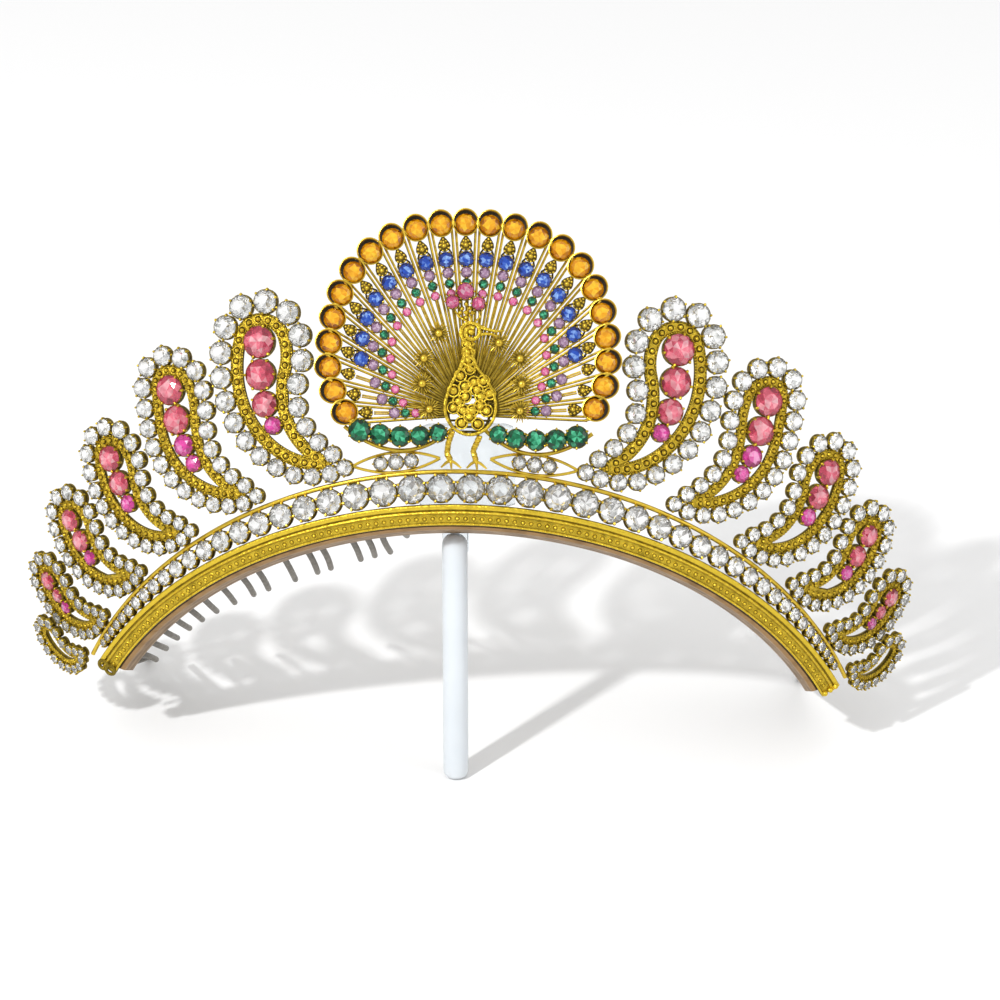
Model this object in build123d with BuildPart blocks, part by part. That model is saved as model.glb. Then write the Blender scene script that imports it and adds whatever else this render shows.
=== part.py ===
from build123d import *
import os
from math import atan2, cos, degrees, exp, hypot, radians, sin

# A gilt comb tiara with a displayed peacock between paisleys, on its plain stand.
# The origin is the middle of the stand's foot. X runs along the tiara, Y to its back, Z up.

# Band: an arch of a circle whose plane is tipped up at the front
band_radius = 81.3
band_half_angle = 65.0
band_tilt = 70.5
band_turn = -1.4
band_lean = 1.27
band_front = (3.1, -8.0, 61.6)
band_face = 4.35
band_splay = 63.7
band_back = 1.0
band_line = 0.40
band_bead = 0.62
band_bead_pitch = 2.3
band_bead_rise = 1.40

# Gallery: a rail over the band that comes down to it at both ends
rail_radius = 84.6
rail_tilt = 3.8
rail_wire = 0.95
gallery_height = 6.65
gallery_splay = 38.0
gallery_depth = 1.8
gallery_end = 62.5
rail_turn = 68.0
edge_gap = 0.28

# Settings and stones
collet_wall = 0.30
solder = 0.08
seat_gap = 0.12
stone_crown = 0.30
stone_pavilion = 0.62
stone_table = 0.58
stone_culet = 0.10
stone_sides = 8

# Comb: heading strip and teeth, both pointing back and down
comb_slope = 25.0
heading_depth = 8.0
heading_wall = 1.2
heading_inset = 0.15
heading_half_angle = 63.5
bar_depth = 1.5
bar_gap = 0.1
tooth_wire = 1.3
tooth_length = 33.0
tooth_droop = 5.0
droop_middle = -27.0
droop_spread = 20.0
tooth_angles = (-62.4, -59.6, -56.4, -53.2, -50, -46.9, -43.6, -39.8, -36, -33.2, -28.4, -24.6, -22.4,
                -17.6, -15.4, -13, -10, 1, 5.8, 7.8, 11, 16, 18, 21, 25.6, 28, 32, 35.8, 39, 43, 47, 50.5,
                54, 57, 59.8, 62.4)
resting_angle = 62.0

# Paisleys: sizes of each loop, named by its columns
ornament_turn = -0.8
paisley_splay = 43.0
paisley_ribbon = 0.134
paisley_behind = 0.4
paisley_thick = 1.2
paisley_collet = 1.7
paisley_columns = ("foot", "turn", "width", "height", "head_stone", "tail_stone", "roses")
paisley_rows = (
    (15.6, 8.0, 17.0, 36.5, 4.4, 2.7, (6.0, 5.75, 4.8, 3.1)),
    (28.0, 8.0, 14.0, 34.2, 3.5, 2.5, (5.6, 5.4, 4.0, 3.0)),
    (38.5, 11.0, 13.3, 28.8, 3.1, 2.2, (4.9, 4.6, 3.2)),
    (48.4, 12.0, 12.0, 24.8, 2.75, 1.95, (4.2, 4.1, 2.8)),
    (57.8, 14.0, 9.8, 20.8, 2.3, 1.65, (3.6, 2.6, 2.3)),
    (65.6, 16.0, 6.5, 13.5, 1.8, 1.4, ()),
)
# Corners of the loop where its arcs meet, as shares of its width and height
loop_corners = {
    "tail": (0.12, 0.115),
    "waist": (0.51, 0.52),
    "neck": (0.385, 0.685),
    "cheek": (0.29, 0.865),
    "crown": (0.54, 1.00),
    "brow": (0.81, 0.945),
    "side": (1.00, 0.685),
    "hip": (0.80, 0.315),
}
loop_heading = (1.0, 0.306)
rose_sides = (0.60, 0.685, 0.725, 0.69)
rows_with_stones = 2
row_steps = 900
tail_taper = 0.45
tip_reach = 1.86
tip_angle = 30.0
rail_clear = 0.62
girdle_drop = 0.2
rose_bar = 0.34

# Peacock: places are side and rise from the hub of the fan
hub_side = -0.8
hub_rise = 11.5
hub_disc = 4.6
tail_thick = 1.0
rib_width = 0.42
fan_offset = (-0.5, 10.3)
fan_radius = 28.6
fan_swell = 0.8
fan_pinch = 14.0
fan_first = 204.0
fan_last = -18.5
feather_count = 23
plain_feathers = 3
amber_stone = 4.1
amber_rim = 0.75
amber_collet = 2.0
leaf_distance = 4.15
leaf_radius = 0.95
sapphire_distance = 7.1
sapphire_stone = 2.75
sapphire_collet = 1.5
bud_distances = (9.7, 11.9, 13.9)
bud_radii = (1.2, 0.98, 0.86)
emerald_places = ((6.0, -4.0), (9.6, -4.75), (13.6, -4.95), (17.6, -4.7), (21.7, -4.0))
emerald_stones = (3.0, 3.4, 3.5, 3.6, 3.9)
bow_points = ((3.4, -2.8), (13.6, -7.0), (23.6, -5.0))
bow_wire = 0.6
rosette_places = ((-6.5, 15.9), (-9.3, 10.8), (-9.5, 5.7), (-7.9, 0.6), (9.9, 11.3), (10.4, 6.2),
                  (10.2, 0.8), (5.6, 14.3))
rosette_radius = 1.25
rosette_raise = 1.1
rosette_bead = 0.55

body_gap = 0.15
body_plate = 0.7
body_wire = 0.75
body_rim = 0.4
body_bead = 0.62
body_bottom = (0.3, -4.2)
body_left = ((-5.1, 2.6), (-2.4, 8.6), (-1.2, 12.8))
body_right = ((5.7, 2.4), (2.6, 8.0), (0.2, 12.8))
body_bead_places = ((-0.8, 14.0), (-0.7, 12.3), (-0.5, 10.7), (-0.1, 8.9), (-2.1, 7.5), (0.9, 6.3),
                    (3.0, 6.6), (-3.5, 4.5), (-0.9, 3.4), (2.5, 3.5), (4.4, 4.1), (-3.4, 1.1), (0.8, 0.7),
                    (3.8, 0.7), (-1.5, -1.9), (2.0, -2.0))
body_holes = ((-2.2, 2.8), (0.8, 2.2), (-0.9, 5.4), (2.9, 5.2), (-1.2, 0.6), (2.4, -0.4), (0.2, -2.9),
              (-3.1, -0.6))
body_hole = 0.5
neck_width = 1.5
head_place = (0.0, 16.3)
head_radius = 2.3
head_wire = 0.8
beak_points = ((1.9, 17.2), (7.2, 16.2), (2.1, 15.7))
crest_places = ((-1.4, 24.4), (-3.9, 22.2), (1.3, 22.0))
crest_stones = (2.9, 2.2, 2.2)
crest_wires = (((-0.5, 18.2), (-2.7, 19.4), (-3.6, 21.0)), ((0.4, 18.2), (1.6, 19.4), (1.3, 20.7)),
               ((0.0, 18.3), (-0.7, 20.5), (-1.2, 22.8)))
crest_raise = 1.2

leg_wire = 0.9
leg_points = {
    "left": ((-3.2, -3.7), (-3.9, -6.0), (-4.1, -8.1), (-3.4, -9.4)),
    "right": ((2.3, -4.5), (1.1, -7.3), (1.7, -9.4)),
}
toe_steps = ((2.2, -1.5), (0.3, -1.7), (-1.8, -1.5))
toe_wire = 0.7

almond_middle = 8.75
almond_half = 7.1
almond_belly = 1.5
almond_rise = 2.45
almond_wire = 0.6
almond_thick = 1.0
almond_collet = 1.6
almond_stones = (2.2, 2.5, 2.2)
almond_pitch = 3.1

# Stand: a round post with a flat blade that goes up behind the comb
post_wire = 5.2
post_foot = 1.6
blade_thick = 1.5
blade_neck = 5.0
blade_width = 19.4
blade_shift = 2.6
blade_shoulder = 61.5
blade_slope = 4.0
blade_top = 79.0
blade_corner = 1.5
stand_gap = 0.3

os.makedirs("parts", exist_ok=True)


def save(piece, name):
    piece.part.label = name
    export_step(piece.part, f"parts/{name}.step")


def turned(vector):
    return vector.rotate(Axis.Z, band_turn).rotate(Axis.Y, band_lean)


# Ring frame: local X along the tiara, local -Y to its front, local Z the axis of the arch
tilt = radians(band_tilt)
ring_axis = turned(Vector(0, sin(tilt), cos(tilt)))
ring_front = turned(Vector(0, -cos(tilt), sin(tilt)))
ring_middle = Vector(*band_front) - ring_front * band_radius
ring = Plane(origin=ring_middle, x_dir=turned(Vector(1, 0, 0)), z_dir=ring_axis)
back_down = turned(Vector(0, cos(radians(comb_slope)), -sin(radians(comb_slope))))

# Upper edge of the band, as a radius and a height in the ring frame
edge_radius = band_radius + band_face * sin(radians(band_splay))
edge_height = band_face * cos(radians(band_splay))
rail_front = edge_radius + gallery_height * sin(radians(gallery_splay))
rail_height = edge_height + gallery_height * cos(radians(gallery_splay))


def facing(angle, radius, height, splay, look=None):
    """Plane on the ring at an angle; its Y climbs the splayed wall, its Z looks outwards."""
    look = radians(angle if look is None else look)
    lean = radians(splay)
    out = Vector(sin(look), -cos(look), 0)
    place = Vector(sin(radians(angle)) * radius, -cos(radians(angle)) * radius, height)
    local = Plane(origin=place, x_dir=Vector(cos(look), sin(look), 0),
                  z_dir=out * cos(lean) - Vector(0, 0, sin(lean)))
    return Plane(ring.location * local.location)


def section(angle, radius, height, splay):
    """Plane across the arch; its X climbs the splayed face, its Y looks outwards."""
    lean = radians(splay)
    out = Vector(sin(radians(angle)), -cos(radians(angle)), 0)
    local = Plane(origin=out * radius + Vector(0, 0, height), x_dir=out * sin(lean) + Vector(0, 0, cos(lean)),
                  z_dir=Vector(cos(radians(angle)), sin(radians(angle)), 0))
    return Plane(ring.location * local.location)


def rail_station(turn):
    """Angle, radius and height in the ring frame of the rail at a turn about its own centre."""
    back = rail_radius * (1 - cos(radians(turn)))
    side = rail_radius * sin(radians(turn))
    front = rail_front - back * cos(radians(rail_tilt))
    return (degrees(atan2(side, front)), hypot(side, front),
            rail_height - back * sin(radians(rail_tilt)))


def rail_at(angle):
    """The rail's radius and height where it crosses a ring angle."""
    turn = angle
    for _ in range(8):
        turn += angle - rail_station(turn)[0]
    return rail_station(turn)[1:]


# One round stone of unit diameter, its girdle in the XY plane and its table up
with BuildPart() as unit_stone:
    with BuildSketch(Plane.XY):
        RegularPolygon(0.5, stone_sides)
    with BuildSketch(Plane.XY.offset(stone_crown / 2)):
        RegularPolygon(stone_table / 2, stone_sides)
    loft()
    with BuildSketch(Plane.XY):
        RegularPolygon(0.5, stone_sides)
    with BuildSketch(Plane.XY.offset(-stone_pavilion / 2)):
        RegularPolygon(stone_culet / 2, stone_sides)
    loft()


def collet_radius(diameter):
    return diameter / 2 + seat_gap + collet_wall


def seat_radius(diameter):
    return diameter / 2 + seat_gap


def raised(plane, side, rise, height):
    return plane.location * Location((side, rise, height))


def stones(name, places):
    """A field of loose stones; places hold a location and a diameter."""
    with BuildPart() as field:
        add([scale(unit_stone.part, by=size, mode=Mode.PRIVATE).moved(spot) for spot, size in places])
    save(field, name)


def rings(places, radius_of):
    """Circles of a row of stones in the open sketch; places hold side, rise and diameter."""
    for side, rise, size in places:
        with Locations((side, rise)):
            Circle(radius_of(size))


def arch(plane, outer, inner, half):
    """Part of a flat ring about the middle of a plane."""
    with BuildSketch(plane) as flat:
        with BuildLine():
            far = CenterArc((0, 0), outer, -90 - half, 2 * half)
            near = CenterArc((0, 0), inner, -90 - half, 2 * half)
            Line(far @ 0, near @ 0)
            Line(far @ 1, near @ 1)
        make_face()
    return flat.sketch


# Band with its moulded face, and the row of domed beads on it
def band_points():
    half = band_line / 2
    return [
        (0, -band_back), (0, 0.10), (0.12, 0.26), (0.42, 0.26), (0.55, 0.05), (2.35, 0.05),
        (2.50, 0.10 + half), (2.75, 0.10 + band_line), (3.0, 0.10 + half), (3.10, 0.0), (3.30, 0.0),
        (3.40, 0.32), (band_face - 0.15, 0.32), (band_face, 0.17), (band_face, -band_back * 0.3),
        (band_face - band_back * 0.9, -band_back)]


with BuildPart() as band:
    with BuildSketch(section(-band_half_angle, band_radius, 0, band_splay)):
        Polygon(*band_points(), align=None)
    revolve(axis=Axis(ring.origin, ring.z_dir), revolution_arc=2 * band_half_angle)
    bead_angle = degrees(band_bead_pitch / band_radius)
    bead_count = int(2 * (band_half_angle - 1) / bead_angle)
    bead_radius = band_radius + band_bead_rise * sin(radians(band_splay))
    bead_height = band_bead_rise * cos(radians(band_splay))
    beads = [facing((k - (bead_count - 1) / 2) * bead_angle, bead_radius, bead_height, band_splay).location
             for k in range(bead_count)]
    with Locations(*beads):
        Sphere(band_bead)
save(band, "band")

# Gallery seats: each collet fills the wall between the band and the rail

def gallery_seat(angle):
    """Plane of the collet at a ring angle, and the collet's diameter."""
    radius, height = rail_at(angle)
    wall = hypot(radius - edge_radius, height - edge_height)
    splay = degrees(atan2(radius - edge_radius, height - edge_height))
    size = wall - edge_gap - rail_wire / 2 + solder
    middle = edge_gap + size / 2
    return facing(angle, edge_radius + middle * sin(radians(splay)),
                  edge_height + middle * cos(radians(splay)), splay), size


def gallery_row(side):
    """Seats from the middle to one end, each touching the one before it."""
    row, angle = [], 0.0
    plane, size = gallery_seat(angle)
    while True:
        step = degrees((size - solder) / edge_radius)
        next_size = gallery_seat(side * (angle + step))[1]
        angle += degrees(((size + next_size) / 2 - solder) / (edge_radius + next_size / 4))
        if angle > gallery_end:
            return row
        plane, size = gallery_seat(side * angle)
        row.append((plane, size))


seats = gallery_row(-1)[::-1] + [gallery_seat(0)] + gallery_row(1)

rail_local = Plane(origin=(0, -rail_front + rail_radius * cos(radians(rail_tilt)),
                           rail_height - rail_radius * sin(radians(rail_tilt))),
                   x_dir=(1, 0, 0), z_dir=(0, sin(radians(rail_tilt)), cos(radians(rail_tilt))))
rail_plane = Plane(ring.location * rail_local.location)

with BuildPart() as gallery:
    with BuildLine(rail_plane):
        rail_line = CenterArc((0, 0), rail_radius, -90 - rail_turn, 2 * rail_turn)
    with BuildSketch(Plane(origin=rail_line @ 0, z_dir=rail_line % 0)):
        Circle(rail_wire / 2)
    sweep()
    for plane, size in seats:
        with BuildSketch(plane):
            Circle(size / 2)
    extrude(amount=gallery_depth / 2, both=True)
    for plane, size in seats:
        with BuildSketch(plane):
            Circle(size / 2 - collet_wall)
    extrude(amount=gallery_depth, both=True, mode=Mode.SUBTRACT)
save(gallery, "gallery")
stones("gallery_stones", [(raised(plane, 0, 0, gallery_depth * 0.3), size - 2 * (collet_wall + seat_gap))
                          for plane, size in seats])

# Comb: a heading strip, and a bar behind it that carries the teeth
heading_outer = band_radius - heading_inset
heading_inner = heading_outer - heading_wall

with BuildPart() as comb_heading:
    extrude(arch(ring, heading_outer, heading_inner, heading_half_angle), amount=heading_depth, dir=back_down)
save(comb_heading, "comb_heading")


def tooth_plane(angle):
    """Root of a tooth inside the bar; its Z runs along the tooth."""
    droop = tooth_droop * exp(-((angle - droop_middle) / droop_spread) ** 2)
    slope = radians(comb_slope + droop)
    middle = (heading_outer + heading_inner) / 2
    root = ring.from_local_coords(Vector(sin(radians(angle)) * middle, -cos(radians(angle)) * middle, 0))
    return Plane(origin=root + back_down * (heading_depth + bar_gap + bar_depth / 2),
                 z_dir=turned(Vector(0, cos(slope), -sin(slope))))


with BuildPart() as comb_teeth:
    bar_plane = Plane(origin=ring.origin + back_down * (heading_depth + bar_gap), x_dir=ring.x_dir,
                      z_dir=ring.z_dir)
    extrude(arch(bar_plane, heading_outer, heading_inner, heading_half_angle), amount=bar_depth, dir=back_down)
    tips = []
    for angle in tooth_angles:
        root = tooth_plane(angle)
        length = tooth_length
        if abs(angle) >= resting_angle:
            length = (root.origin.Z - tooth_wire / 2) / -root.z_dir.Z
        tips.append(root.origin + root.z_dir * length)
        with BuildSketch(root):
            Circle(tooth_wire / 2)
        extrude(amount=length)
    with Locations(*tips):
        Sphere(tooth_wire / 2)
save(comb_teeth, "comb_teeth")


# Paisleys
def paisley_arcs(width, height):
    """The loop's centre line, from the tail up its inner side and back down its outer side."""
    corners = {name: (side * width, rise * height) for name, (side, rise) in loop_corners.items()}
    with BuildLine():
        arcs = [TangentArc(corners["tail"], corners["waist"],
                           tangent=(loop_heading[0] * width, loop_heading[1] * height))]
        for name in ("neck", "cheek", "crown", "brow", "side", "hip", "tail"):
            arcs.append(TangentArc(arcs[-1] @ 1, corners[name], tangent=arcs[-1] % 1))
    return arcs


def along(arcs, distance):
    for arc in arcs:
        if distance <= arc.length:
            break
        distance -= arc.length
    share = min(distance / arc.length, 1)
    return arc @ share, arc % share


def outer_row(arcs, row):
    """Side, rise and diameter of the stones around a loop, starting with the one at the tail's tip."""
    total = sum(arc.length for arc in arcs)
    ribbon = paisley_ribbon * row["width"]

    def seat(share):
        distance = share * total
        place, way = along(arcs, distance)
        size = row["tail_stone"] + (row["head_stone"] - row["tail_stone"]) * place.Y / row["height"]
        taper = min(1.0, 0.2 + min(distance, total - distance) / (tail_taper * row["width"]))
        reach = taper * ribbon / 2 + collet_radius(size) - 1.5 * solder
        return place.X - way.Y * reach, place.Y + way.X * reach, size

    choices = [seat(k / row_steps) for k in range(row_steps + 1)]

    def march(spread):
        found = choices[:1]
        for side, rise, size in choices:
            reach = collet_radius(found[-1][2]) + collet_radius(size) + spread
            if hypot(side - found[-1][0], rise - found[-1][1]) >= reach:
                found.append((side, rise, size))
        return found

    count = len(march(0.0))
    spread = 0.0
    while len(march(spread + 0.01)) == count:
        spread += 0.01
    tail = along(arcs, 0.0)[0]
    reach = tip_reach * collet_radius(row["tail_stone"])
    tip = (tail.X - reach * cos(radians(tip_angle)), tail.Y - reach * sin(radians(tip_angle)), row["tail_stone"])
    return [tip] + march(spread)


def rose_row(row):
    """Side, rise and diameter of the roses, stacked downwards from the top of the loop."""
    ribbon = paisley_ribbon * row["width"]
    found = []
    for side, size in zip(rose_sides, row["roses"]):
        side *= row["width"]
        if found:
            reach = collet_radius(size) + collet_radius(found[-1][2]) - solder
            rise = found[-1][1] - (reach ** 2 - (side - found[-1][0]) ** 2) ** 0.5
        else:
            rise = row["height"] - ribbon / 2 - collet_radius(size) + 1.5 * solder
        found.append((side, rise, size))
    return found


def paisley(side, number, row):
    """One paisley on the rail; the left ones are mirrored."""
    angle = side * row["foot"] + ornament_turn
    radius, height = rail_at(angle)
    foot = facing(angle, radius, height, paisley_splay, angle + side * row["turn"])
    arcs = paisley_arcs(row["width"], row["height"])
    outer, roses = outer_row(arcs, row), rose_row(row)
    ribbon = paisley_ribbon * row["width"]
    lift = rail_clear - min(rise - collet_radius(size) for _, rise, size in outer)
    flip = Plane(raised(foot, 0, lift, 0))
    outer = [(side * u, v, size) for u, v, size in outer]
    roses = [(side * u, v, size) for u, v, size in roses]
    with BuildPart() as piece:
        with BuildSketch(flip.offset(-paisley_behind)):
            with BuildLine():
                for arc in arcs:
                    add(arc if side > 0 else arc.mirror(Plane.YZ))
            trace(line_width=ribbon)
            with Locations((side * (arcs[0] @ 0).X, (arcs[0] @ 0).Y)):
                Circle(ribbon / 2)
            rings(outer + roses, collet_radius)
            if roses:
                last = roses[-1]
                with Locations((last[0], last[1])):
                    Rectangle(rose_bar * row["width"], rib_width)
        extrude(amount=paisley_thick)
        with BuildSketch(flip.offset(-paisley_behind)):
            rings(outer + roses, collet_radius)
        extrude(amount=paisley_collet)
        with BuildSketch(flip.offset(-paisley_behind)):
            rings(outer + roses, seat_radius)
        extrude(amount=paisley_collet, mode=Mode.SUBTRACT)
    name = f"paisley_{'left' if side < 0 else 'right'}_{number}"
    save(piece, name)
    lift = paisley_collet - paisley_behind - girdle_drop
    if number <= rows_with_stones:
        stones(f"{name}_stones", [(raised(flip, u, v, lift), size) for u, v, size in outer])
    return [(raised(flip, u, v, lift), size) for u, v, size in roses]


for side, word in ((-1, "left"), (1, "right")):
    roses = []
    for number, values in enumerate(paisley_rows, 1):
        roses += paisley(side, number, dict(zip(paisley_columns, values)))
    stones(f"{word}_roses", roses)

# Peacock's tail: feathers fan out from the hub to a ring of ambers
tail_plane = Plane(raised(facing(0, rail_front, rail_height, paisley_splay), hub_side, hub_rise, 0))


def amber_place(index):
    """Side and rise of a place on the ring; halves lie between two feathers."""
    angle = radians(fan_first + index * (fan_last - fan_first) / (feather_count - 1))
    reach = fan_radius - fan_swell * cos(4 * angle) - fan_pinch * min(0, sin(angle)) ** 2
    return fan_offset[0] + reach * cos(angle), fan_offset[1] + reach * sin(angle)


def on_feather(index, distance):
    """Place on a feather's shaft at a distance inwards from its amber."""
    side, rise = amber_place(index)
    share = 1 - distance / hypot(side, rise)
    return side * share, rise * share


feathers = range(feather_count)
sapphire_feathers = range(plain_feathers, feather_count - plain_feathers)
ambers = [(*amber_place(k), amber_stone) for k in feathers]
sapphires = [(*on_feather(k, sapphire_distance), sapphire_stone) for k in sapphire_feathers]
emeralds = [(flip * side, rise, size) for flip in (-1, 1)
            for (side, rise), size in zip(emerald_places, emerald_stones)]


def amber_rims(size):
    return size / 2 + seat_gap + amber_rim


with BuildPart() as peacock_tail:
    with BuildSketch(tail_plane):
        Circle(hub_disc)
        with BuildLine():
            for k in feathers:
                Line((0, 0), on_feather(k, 1.0))
            for k in range(feather_count + 1):
                Line((0, 0), amber_place(k - 0.5))
        trace(line_width=rib_width)
        with BuildLine():
            for flip in (-1, 1):
                ThreePointArc(*[(flip * side, rise) for side, rise in bow_points])
        trace(line_width=bow_wire)
        for distance, radius in zip(bud_distances, bud_radii):
            with Locations(*[on_feather(k, distance) for k in feathers]):
                Circle(radius)
    extrude(amount=tail_thick)
    with BuildSketch(tail_plane):
        with Locations(*[amber_place(k) for k in feathers]):
            Circle(amber_rims(amber_stone))
        rings(emeralds, collet_radius)
    extrude(amount=amber_collet)
    with BuildSketch(tail_plane):
        with Locations(*[on_feather(k, leaf_distance) for k in feathers]):
            Circle(leaf_radius)
        rings(sapphires, collet_radius)
    extrude(amount=sapphire_collet)
    with BuildSketch(tail_plane):
        with Locations(*rosette_places):
            Circle(rosette_radius)
    extrude(amount=tail_thick + rosette_raise)
    with Locations(*[raised(tail_plane, u, v, tail_thick + rosette_raise) for u, v in rosette_places]):
        Sphere(rosette_bead)
    with BuildSketch(tail_plane):
        with Locations(*[amber_place(k) for k in feathers]):
            Circle(seat_radius(amber_stone))
        with Locations(*[on_feather(k, sapphire_distance) for k in sapphire_feathers]):
            Circle(seat_radius(sapphire_stone))
        rings(emeralds, seat_radius)
    extrude(amount=amber_collet, mode=Mode.SUBTRACT)
save(peacock_tail, "peacock_tail")

for name, places, height in (("amber_stones", ambers, amber_collet), ("emeralds", emeralds, amber_collet),
                             ("sapphires", sapphires, sapphire_collet)):
    stones(name, [(raised(tail_plane, u, v, height - girdle_drop), size) for u, v, size in places])

# Peacock's body in front of the tail, with its head and crest
body_height = tail_thick + body_gap
body_plane = tail_plane.offset(body_height)
crest = [(u, v, size) for (u, v), size in zip(crest_places, crest_stones)]

with BuildPart() as peacock_body:
    with BuildSketch(body_plane):
        with BuildLine() as outline:
            ends = []
            for way, corners in ((-1, body_left), (1, body_right)):
                arc = TangentArc(body_bottom, corners[0], tangent=(way, 0))
                for corner in corners[1:]:
                    arc = TangentArc(arc @ 1, corner, tangent=arc % 1)
                ends.append(arc @ 1)
            Line(*ends)
        make_face()
        with Locations(*body_holes):
            Circle(body_hole, mode=Mode.SUBTRACT)
        neck = ((ends[0] + ends[1]) / 2 + Vector(*head_place) - Vector(0, head_radius)) / 2
        with Locations(neck):
            Rectangle(neck_width, head_place[1] - head_radius - ends[0].Y + 2 * body_wire)
        with Locations(head_place):
            Circle(head_radius)
            Circle(head_radius - head_wire, mode=Mode.SUBTRACT)
            Circle(head_wire)
            Rectangle(2 * head_radius - head_wire, rib_width)
        with BuildLine():
            Polyline(*beak_points)
        trace(line_width=body_wire)
        for points in crest_wires:
            with BuildLine():
                ThreePointArc(*points)
            trace(line_width=body_wire)
    extrude(amount=body_plate)
    with BuildSketch(body_plane):
        add(outline.line)
        trace(line_width=body_wire)
    extrude(amount=body_plate + body_rim)
    with Locations(*[raised(body_plane, u, v, body_plate) for u, v in body_bead_places]):
        Sphere(body_bead)
    with BuildSketch(body_plane):
        rings(crest, collet_radius)
    extrude(amount=body_plate + crest_raise)
    with BuildSketch(body_plane):
        rings(crest, seat_radius)
    extrude(amount=body_plate + crest_raise, mode=Mode.SUBTRACT)
save(peacock_body, "peacock_body")
stones("crest_stones", [(raised(body_plane, u, v, body_plate + crest_raise - girdle_drop), size)
                        for u, v, size in crest])

# Legs: a bent wire with three toes each
for word, points in leg_points.items():
    with BuildPart() as leg:
        with BuildSketch(body_plane):
            with BuildLine():
                Polyline(*points)
            trace(line_width=leg_wire)
            ankle = Vector(*points[-1])
            with BuildLine():
                for step in toe_steps:
                    Line(ankle, ankle + Vector(*step))
            trace(line_width=toe_wire)
            with Locations(ankle):
                Circle(leg_wire / 2)
        extrude(amount=leg_wire)
    save(leg, f"peacock_{word}_leg")

# Almond loops between the feet and the first paisleys
for side, word in ((-1, "left"), (1, "right")):
    angle = ornament_turn + side * almond_middle
    middle = Plane(raised(facing(angle, *rail_at(angle), paisley_splay), 0, almond_rise, -paisley_behind))
    row = [((k - 1) * almond_pitch, 0, size) for k, size in enumerate(almond_stones)]
    with BuildPart() as almond:
        with BuildSketch(middle):
            with BuildLine():
                for belly in (-almond_belly, almond_belly):
                    ThreePointArc((-almond_half, 0), (0, belly), (almond_half, 0))
            trace(line_width=almond_wire)
            rings(row, collet_radius)
        extrude(amount=almond_thick)
        with BuildSketch(middle):
            rings(row, collet_radius)
        extrude(amount=almond_collet)
        with BuildSketch(middle):
            rings(row, seat_radius)
        extrude(amount=almond_collet, mode=Mode.SUBTRACT)
    save(almond, f"almond_{word}")
    stones(f"almond_{word}_stones", [(raised(middle, u, v, almond_collet - girdle_drop), size)
                                     for u, v, size in row])

# Stand
bar_end = tooth_plane(0).origin + back_down * bar_depth / 2
wall_reach = heading_wall / 2
post_top = bar_end.Z - wall_reach - stand_gap
blade_front = bar_end.Y + wall_reach + stand_gap

with BuildPart() as stand:
    with BuildSketch(Plane.XY):
        Circle(post_wire / 2)
    extrude(amount=post_top)
    fillet(stand.faces().sort_by(Axis.Z)[0].edges(), radius=post_foot)
    with BuildSketch(Plane(origin=(0, blade_front + blade_thick, 0), x_dir=(1, 0, 0), z_dir=(0, -1, 0))):
        low, right = post_top - post_wire, blade_shift + blade_width / 2
        left, neck = blade_shift - blade_width / 2, blade_neck / 2
        with BuildLine():
            Polyline((-neck, low), (neck, low), (neck, blade_shoulder - blade_slope), (right, blade_shoulder),
                     (right, blade_top), (left, blade_top), (left, blade_shoulder),
                     (-neck, blade_shoulder - blade_slope), close=True)
        blade = make_face()
        fillet(blade.vertices().group_by(Axis.Y)[-1], radius=blade_corner)
    extrude(amount=blade_thick)
save(stand, "stand")
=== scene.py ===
import random
from math import atan2, cos, degrees, exp, hypot, pi, radians, sin

import bmesh
import bpy
from mathutils import Matrix, Vector


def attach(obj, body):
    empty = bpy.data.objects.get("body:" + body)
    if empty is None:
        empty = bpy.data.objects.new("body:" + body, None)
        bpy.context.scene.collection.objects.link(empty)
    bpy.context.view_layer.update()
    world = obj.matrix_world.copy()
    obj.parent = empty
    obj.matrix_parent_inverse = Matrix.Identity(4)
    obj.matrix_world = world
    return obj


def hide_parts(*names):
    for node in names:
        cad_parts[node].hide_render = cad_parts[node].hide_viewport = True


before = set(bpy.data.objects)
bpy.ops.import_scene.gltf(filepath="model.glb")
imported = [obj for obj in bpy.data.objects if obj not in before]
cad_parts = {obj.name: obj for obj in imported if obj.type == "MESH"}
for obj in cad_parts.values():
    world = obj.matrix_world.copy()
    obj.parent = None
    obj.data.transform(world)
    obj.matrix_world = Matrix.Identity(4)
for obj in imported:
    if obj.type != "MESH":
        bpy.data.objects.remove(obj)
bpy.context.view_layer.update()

mm = 0.001                       # every length below is in millimetres until a mesh is made
dice = random.Random(11)


# Shapes

class Shape:
    # Corners and faces of a piece; a value at each corner is 1 on high spots, a painted highlight, and 0 in
    # recesses and gaps, painted shade over the tarnish there
    def __init__(self):
        self.points, self.wear = [], []
        self.faces, self.facet, self.tone = [], [], []

    def add(self, part, where=None, facet=None, tone=0.0):
        points, faces, wear = part
        first = len(self.points)
        if where is None:
            self.points += [tuple(point) for point in points]
        else:
            self.points += [tuple(where @ Vector(point)) for point in points]
        self.wear += wear
        self.faces += [tuple(first + corner for corner in face) for face in faces]
        self.facet += facet or [0.5] * len(faces)
        self.tone += [tone] * len(faces)


def skin(rows, wear, loop=False):
    # Stitches closed rows of corners one to the next; the wear with painted shade has a value for each corner
    # of a row
    size = len(rows[0])
    points = [point for row in rows for point in row]
    faces = []
    pairs = len(rows) if loop else len(rows) - 1
    for k in range(pairs):
        low, high = k * size, (k + 1) % len(rows) * size
        for j in range(size):
            following = (j + 1) % size
            faces.append((low + j, low + following, high + following, high + j))
    if not loop:
        faces.append(tuple(range(size)))
        faces.append(tuple(range(len(points) - size, len(points))))
    return points, faces, list(wear) * len(rows)


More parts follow.
